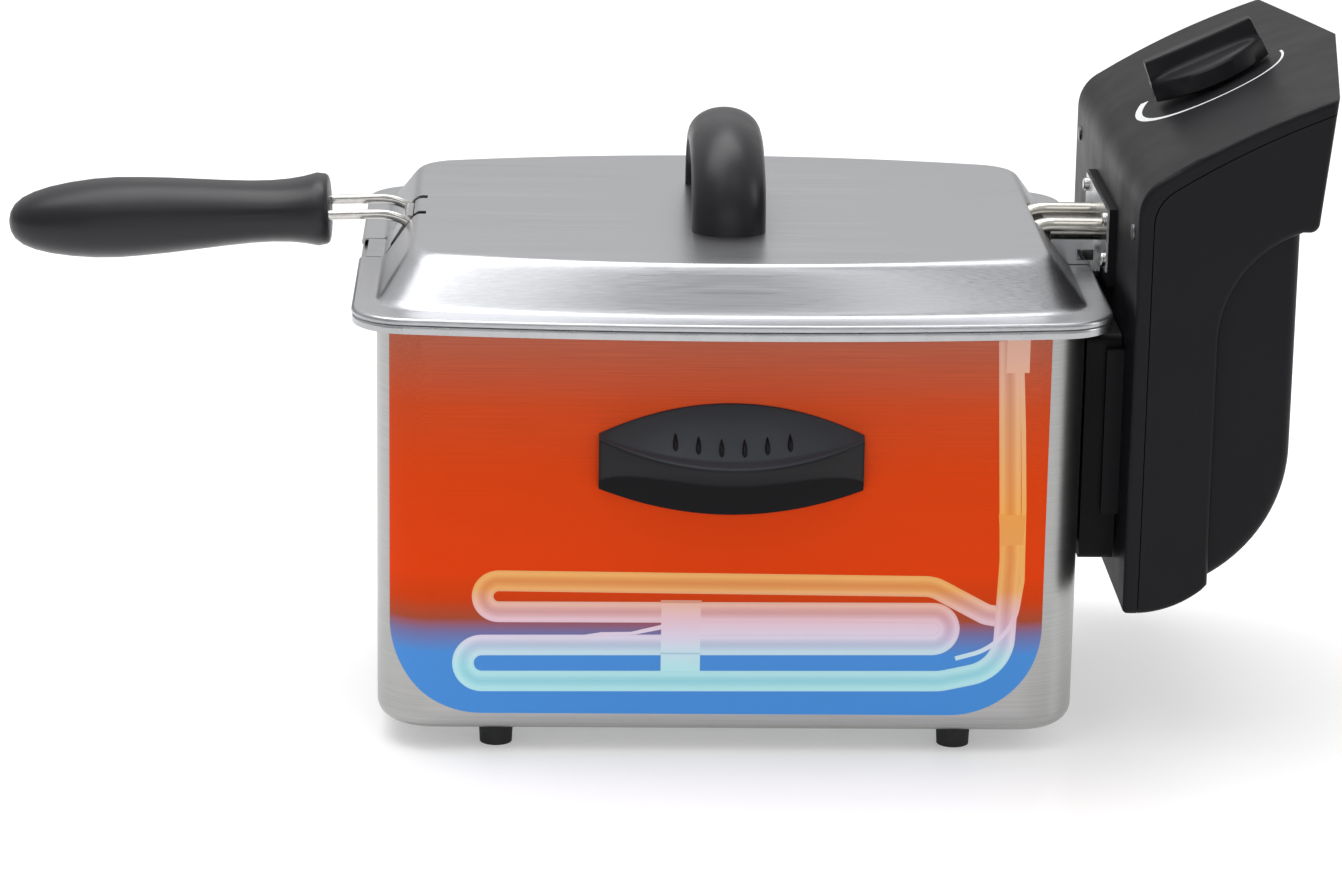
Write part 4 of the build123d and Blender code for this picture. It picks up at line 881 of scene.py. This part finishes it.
# ---------------------------------------------------------------- wire basket
def make_basket():
    """Woven square mesh hanging from the rim wire."""
    low, high = reach("basket_mesh")
    mid = (low.x + high.x) / 2
    half_l, half_w = (high.x - low.x) / 2 - 0.7, (high.y - low.y) / 2 - 0.7
    corner, taper, fillet_r = 30.0, 5.0, 12.0
    # wires 6 mm apart, where a real mesh has them 3 to 5 mm apart, so that they show
    pitch, wire_r = 6.0, 0.45
    floor_z, top_z = low.z + 0.8, high.z + 2.2

    def side_place(angle_share, z):
        """Point on the wall, angle_share of the way round."""
        share = (z - floor_z) / (top_z - floor_z)
        l, w = half_l - taper * (1 - share), half_w - taper * (1 - share)
        straight_l, straight_w, arc = 2 * (l - corner), 2 * (w - corner), corner * pi / 2
        total = 2 * (straight_l + straight_w) + 4 * arc
        d = angle_share * total
        sides = [
            (straight_l, (-l + corner, -w), (1, 0)), (straight_w, (l, -w + corner), (0, 1)),
            (straight_l, (l - corner, w), (-1, 0)), (straight_w, (-l, w - corner), (0, -1)),
        ]
        cx, cy = l - corner, w - corner
        centres = [(cx, -cy), (cx, cy), (-cx, cy), (-cx, -cy)]
        for i, (length, start, way) in enumerate(sides):
            if d <= length:
                return mid + start[0] + way[0] * d, start[1] + way[1] * d
            d -= length
            if d <= arc:
                a = -pi / 2 + i * pi / 2 + d / corner
                return mid + centres[i][0] + corner * cos(a), centres[i][1] + corner * sin(a)
            d -= arc
        return mid + sides[0][1][0], sides[0][1][1]

    around = 124
    rings, uprights = [], []
    level = floor_z + fillet_r
    while level < top_z - 3:
        rings.append([(*side_place(k / around, level), level) for k in range(around)])
        level += pitch
    for k in range(around):
        share = (k + 0.5) / around
        path = []
        for j in range(8):
            a = pi / 2 * j / 7
            z = floor_z + fillet_r * (1 - sin(a))
            x, y = side_place(share, floor_z + fillet_r)
            pull = Vector((x - mid, y)).normalized() * fillet_r * (1 - cos(a))
            path.append((x - pull.x, y - pull.y, z))
        path.reverse()
        x, y = side_place(share, top_z)
        path.append((x, y, top_z))
        uprights.append(path)

    def floor_limit(value, half_a, half_b):
        """How far a floor wire runs at this distance from the middle."""
        r = corner - fillet_r
        a, b = half_a - taper - fillet_r, half_b - taper - fillet_r
        edge = abs(value) - (a - r)
        return b if edge <= 0 else b - r + sqrt(max(0.0, r * r - edge * edge))

    floor_wires = []
    for k in range(-18, 19):
        x = k * pitch
        if abs(x) < half_l - taper - fillet_r:
            y = floor_limit(x, half_l, half_w)
            floor_wires.append([(mid + x, -y, floor_z), (mid + x, y, floor_z)])
    for k in range(-14, 15):
        y = k * pitch
        if abs(y) < half_w - taper - fillet_r:
            x = floor_limit(y, half_w, half_l)
            floor_wires.append([(mid - x, y, floor_z + 0.5), (mid + x, y, floor_z + 0.5)])
    mesh_wires = wires("basket_uprights", uprights + floor_wires, wire_r, "basket", "basket_mesh")
    ring_wires = wires("basket_rings", rings, wire_r, "basket", "basket_mesh", cyclic=True)
    for obj in (mesh_wires, ring_wires):
        obj.data.materials.append(bright_wire)
    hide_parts("basket_mesh")


make_basket()


# ---------------------------------------------------------------- printed picture of the element
FILM_T = 0.3
INK_Y = -(HALF_W + FILM_T)
INK_SUNK = 0.05    # how deep the ink reaches into the film, so that no gap shows


def rounded_path(corners, radii):
    """Open path of (x, z) corners with a round bend at each inner one."""
    steps = 10
    out = [Vector(corners[0])]
    for i in range(1, len(corners) - 1):
        p, before, after = Vector(corners[i]), Vector(corners[i - 1]), Vector(corners[i + 1])
        r = radii[i - 1]
        u, v = (before - p).normalized(), (after - p).normalized()
        half = u.angle(v) / 2
        back = r / abs(sin(half) / cos(half))
        centre = p + (u + v).normalized() * (r / sin(half))
        a, b = p + u * back - centre, p + v * back - centre
        turn = a.angle_signed(b)
        for k in range(steps + 1):
            c = Matrix.Rotation(-turn * k / steps, 2)
            out.append(centre + c @ a)
    out.append(Vector(corners[-1]))
    return out


def ribbon(path, half_wide, low_lift, high_lift):
    """Flat strip of ink along a path on the near wall, a little thicker towards its end."""
    rings = []
    for i, p in enumerate(path):
        lift = low_lift + (high_lift - low_lift) * i / (len(path) - 1)
        before, after = path[max(0, i - 1)], path[min(len(path) - 1, i + 1)]
        way = (after - before).normalized()
        side = Vector((-way.y, way.x))
        ring = []
        for k in range(9):
            q = p + side * half_wide * (k / 4 - 1)
            ring.append(spot(q.x, INK_Y - lift, q.y))
        for k in (8, 0):
            q = p + side * half_wide * (k / 4 - 1)
            ring.append(spot(q.x, INK_Y + INK_SUNK, q.y))
        rings.append(ring)
    return rings


picture_ink = element_ink("printing ink, shaded tube", 172.0, 20.0)


def print_on_film(name, shape, tones):
    """A printed shape on the film; tones gives each vertex its place across a tube, 0 to 1."""
    obj = piece(name, *shape, "housing", "front_graphic_film", 30)
    across = obj.data.attributes.new("across", "FLOAT", "POINT")
    for i, tone_share in enumerate(tones):
        across.data[i].value = tone_share
    obj.data.materials.append(picture_ink)


def draw_tube(name, corners, radii, half_wide, low_lift, high_lift):
    """One printed tube along corners given as (x, z)."""
    rings = ribbon(rounded_path(corners, radii), half_wide, low_lift, high_lift)
    ring_tones = [k / 8 for k in range(9)] + [1.0, 0.0]
    print_on_film(name, skin(rings), ring_tones * len(rings))


PICTURE_TUBE = 4.45    # half width of the printed tube
# one tube: from the leg's foot back and forth through two flat loops and up the leg
draw_tube("printed_tube_upper", [
    (114.4, 60.0), (106.0, 61.5), (84.0, 73.4), (-101.0, 74.8), (-101.0, 61.4), (91.0, 61.9), (91.0, 48.2),
    (-109.0, 47.0), (-109.0, 31.4), (88.0, 32.4), (113.5, 38.0), (115.4, 85.0), (112.0, 178.0),
], [9.0, 14.0, 6.65, 6.65, 6.8, 6.8, 7.75, 7.75, 22.0, 17.0, 60.0], PICTURE_TUBE, 0.03, 0.08)


def draw_patch(name, corners, lift, tone_share):
    """Flat printed shape between corners given as (x, z)."""
    front = [spot(x, INK_Y - lift, z) for x, z in corners]
    back = [spot(x, INK_Y + INK_SUNK, z) for x, z in corners]
    print_on_film(name, skin([front, back]), [tone_share] * (2 * len(corners)))


# each patch lies a little prouder than what it covers
draw_patch("printed_haze", [
    (-13.0, 57.8), (85.0, 58.6), (88.0, 55.0), (85.0, 51.8), (-13.0, 51.4),
], 0.03, 0.16)
draw_patch("printed_wire", [
    (-60.0, 51.6), (-52.0, 52.9), (-40.0, 53.1), (-26.0, 56.6), (-24.0, 55.0), (-38.0, 52.0), (-52.0, 51.6),
], 0.10, 0.16)
draw_patch("printed_tie", [
    (-27.6, 66.4), (-11.4, 66.4), (-11.4, 36.2), (-27.6, 36.2),
], 0.12, 0.12)
draw_patch("printed_tie_edge", [(-27.9, 66.9), (-11.1, 66.9), (-11.1, 65.6), (-27.9, 65.6)], 0.15, 0.5)
draw_patch("printed_tie_step", [(-27.9, 44.2), (-11.1, 44.2), (-11.1, 43.5), (-27.9, 43.5)], 0.15, 0.5)
draw_patch("printed_clamp_low", [(110.0, 104.6), (121.0, 104.0), (120.4, 91.6), (111.0, 91.0)], 0.12, 0.30)
draw_patch("printed_clamp_high", [(111.0, 178.2), (120.4, 178.4), (120.4, 164.6), (111.0, 164.4)], 0.12, 0.12)



def draw_rod():
    """Thin printed line that runs down beside the leg and hooks in under the loops."""
    corners = [
        (117.0, 172.0), (118.9, 140.0), (120.2, 108.0), (120.6, 76.0), (118.0, 57.0), (107.0, 46.0),
        (94.0, 42.3),
    ]
    bend, half_wide, lift, tone_share = 24.0, 0.95, 0.10, 0.12
    rings = ribbon(rounded_path(corners, [bend] * (len(corners) - 2)), half_wide, lift, lift)
    print_on_film("printed_rod", skin(rings), [tone_share] * (len(rings) * len(rings[0])))


draw_rod()


# ---------------------------------------------------------------- floor, light and camera
def make_floor():
    """Pale studio sweep, big enough to fill every view."""
    mesh = bpy.data.meshes.new("studio_floor")
    size = 14.0
    corners = [(-size, -size, 0), (size, -size, 0), (size, size, 0), (-size, size, 0)]
    mesh.from_pydata(corners, [], [(0, 1, 2, 3)])
    floor = bpy.data.objects.new("studio_floor", mesh)
    bpy.context.scene.collection.objects.link(floor)
    material, tree, surface = finish("acrylic sheet, satin white", "#F7F7F7", roughness=0.25, IOR=1.35)
    haze = grain_noise(tree, (1, 1, 1), 400.0)
    shade(tree, haze.outputs["Fac"], "#F6F6F6", "#F9F9F9", surface)
    surface.inputs["Emission Color"].default_value = linear("#FFFFFF")
    surface.inputs["Emission Strength"].default_value = 0.27
    mesh.materials.append(material)


make_floor()


def soft_light(name, place, aim, wide, deep, watts):
    """Large soft panel pointing at a place."""
    lamp = bpy.data.lights.new(name, "AREA")
    lamp.shape = "RECTANGLE"
    lamp.size, lamp.size_y = wide, deep
    lamp.energy = watts
    obj = bpy.data.objects.new(name, lamp)
    bpy.context.scene.collection.objects.link(obj)
    obj.location = place
    obj.rotation_euler = (Vector(aim) - Vector(place)).to_track_quat("-Z", "Y").to_euler()


# name, place, aim, width and depth in metres, watts
soft_light("overhead_panel", (-0.25, 0.40, 1.7), (0.0, 0.1, 0.1), 1.8, 1.1, 20)
soft_light("front_left_panel", (-0.47, -0.95, 1.85), (-0.03, 0.0, 0.2), 0.50, 0.9, 2.3)
soft_light("front_right_panel", (0.43, -0.95, 1.85), (0.05, 0.0, 0.2), 0.32, 0.9, 1.5)
soft_light("front_fill_panel", (0.0, -2.2, 0.55), (0.0, 0.0, 0.1), 1.6, 0.6, 3.5)
soft_light("side_panel", (1.9, -0.3, 0.9), (0.1, 0.0, 0.15), 0.5, 1.0, 5)

def make_world():
    """Pale studio all round, lighter overhead and behind the object than in front of it."""
    world = bpy.data.worlds.new("studio")
    bpy.context.scene.world = world
    world.use_nodes = True
    tree = world.node_tree
    background = tree.nodes["Background"]
    place = add_node(tree, "ShaderNodeTexCoord")
    split = add_node(tree, "ShaderNodeSeparateXYZ", [(place.outputs["Generated"], "Vector")])
    height_ramp = add_node(tree, "ShaderNodeValToRGB", [(split.outputs["Z"], "Fac")])
    horizon, overhead = height_ramp.color_ramp.elements[0], height_ramp.color_ramp.elements[1]
    horizon.position, horizon.color = 0.0, (0.42, 0.42, 0.43, 1)
    overhead.position, overhead.color = 1.0, (1.0, 1.0, 1.0, 1)
    for position, level in ((0.15, 0.62), (0.30, 0.80), (0.55, 0.85), (0.75, 0.95)):
        height_ramp.color_ramp.elements.new(position).color = (level, level, level, 1)
    front_share = add_node(
        tree, "ShaderNodeMapRange", [(split.outputs["Y"], "Value")],
        in_From_Min=-0.9, in_From_Max=0.9, in_To_Min=0.60, in_To_Max=1.15,
    )
    lit = add_node(
        tree, "ShaderNodeVectorMath", [(height_ramp.outputs[0], 0), (front_share.outputs[0], "Scale")],
        operation="SCALE",
    )
    tree.links.new(lit.outputs[0], background.inputs["Color"])
    background.inputs["Strength"].default_value = 0.84


make_world()


def place_camera():
    """Long lens that looks a little down on the near side."""
    pitch, yaw, roll = radians(15.74), radians(1.77), radians(0.88)
    aim = spot(-21.3, 0.0, 105.0)
    distance = 1.983
    forward = Vector((sin(yaw) * cos(pitch), cos(yaw) * cos(pitch), -sin(pitch)))
    right = Vector((cos(yaw), -sin(yaw), 0.0))
    up = right.cross(forward)
    right_rolled = right * cos(roll) + up * sin(roll)
    up_rolled = up * cos(roll) - right * sin(roll)
    lens = bpy.data.cameras.new("camera")
    lens.lens = 123.2
    lens.sensor_width = 36.0
    lens.clip_end = 60.0
    camera = bpy.data.objects.new("camera", lens)
    bpy.context.scene.collection.objects.link(camera)
    turn = Matrix((right_rolled, up_rolled, -forward)).transposed()
    camera.matrix_world = Matrix.Translation(aim - forward * distance) @ turn.to_4x4()
    bpy.context.scene.camera = camera


place_camera()
bpy.context.scene.view_settings.view_transform = "Standard"
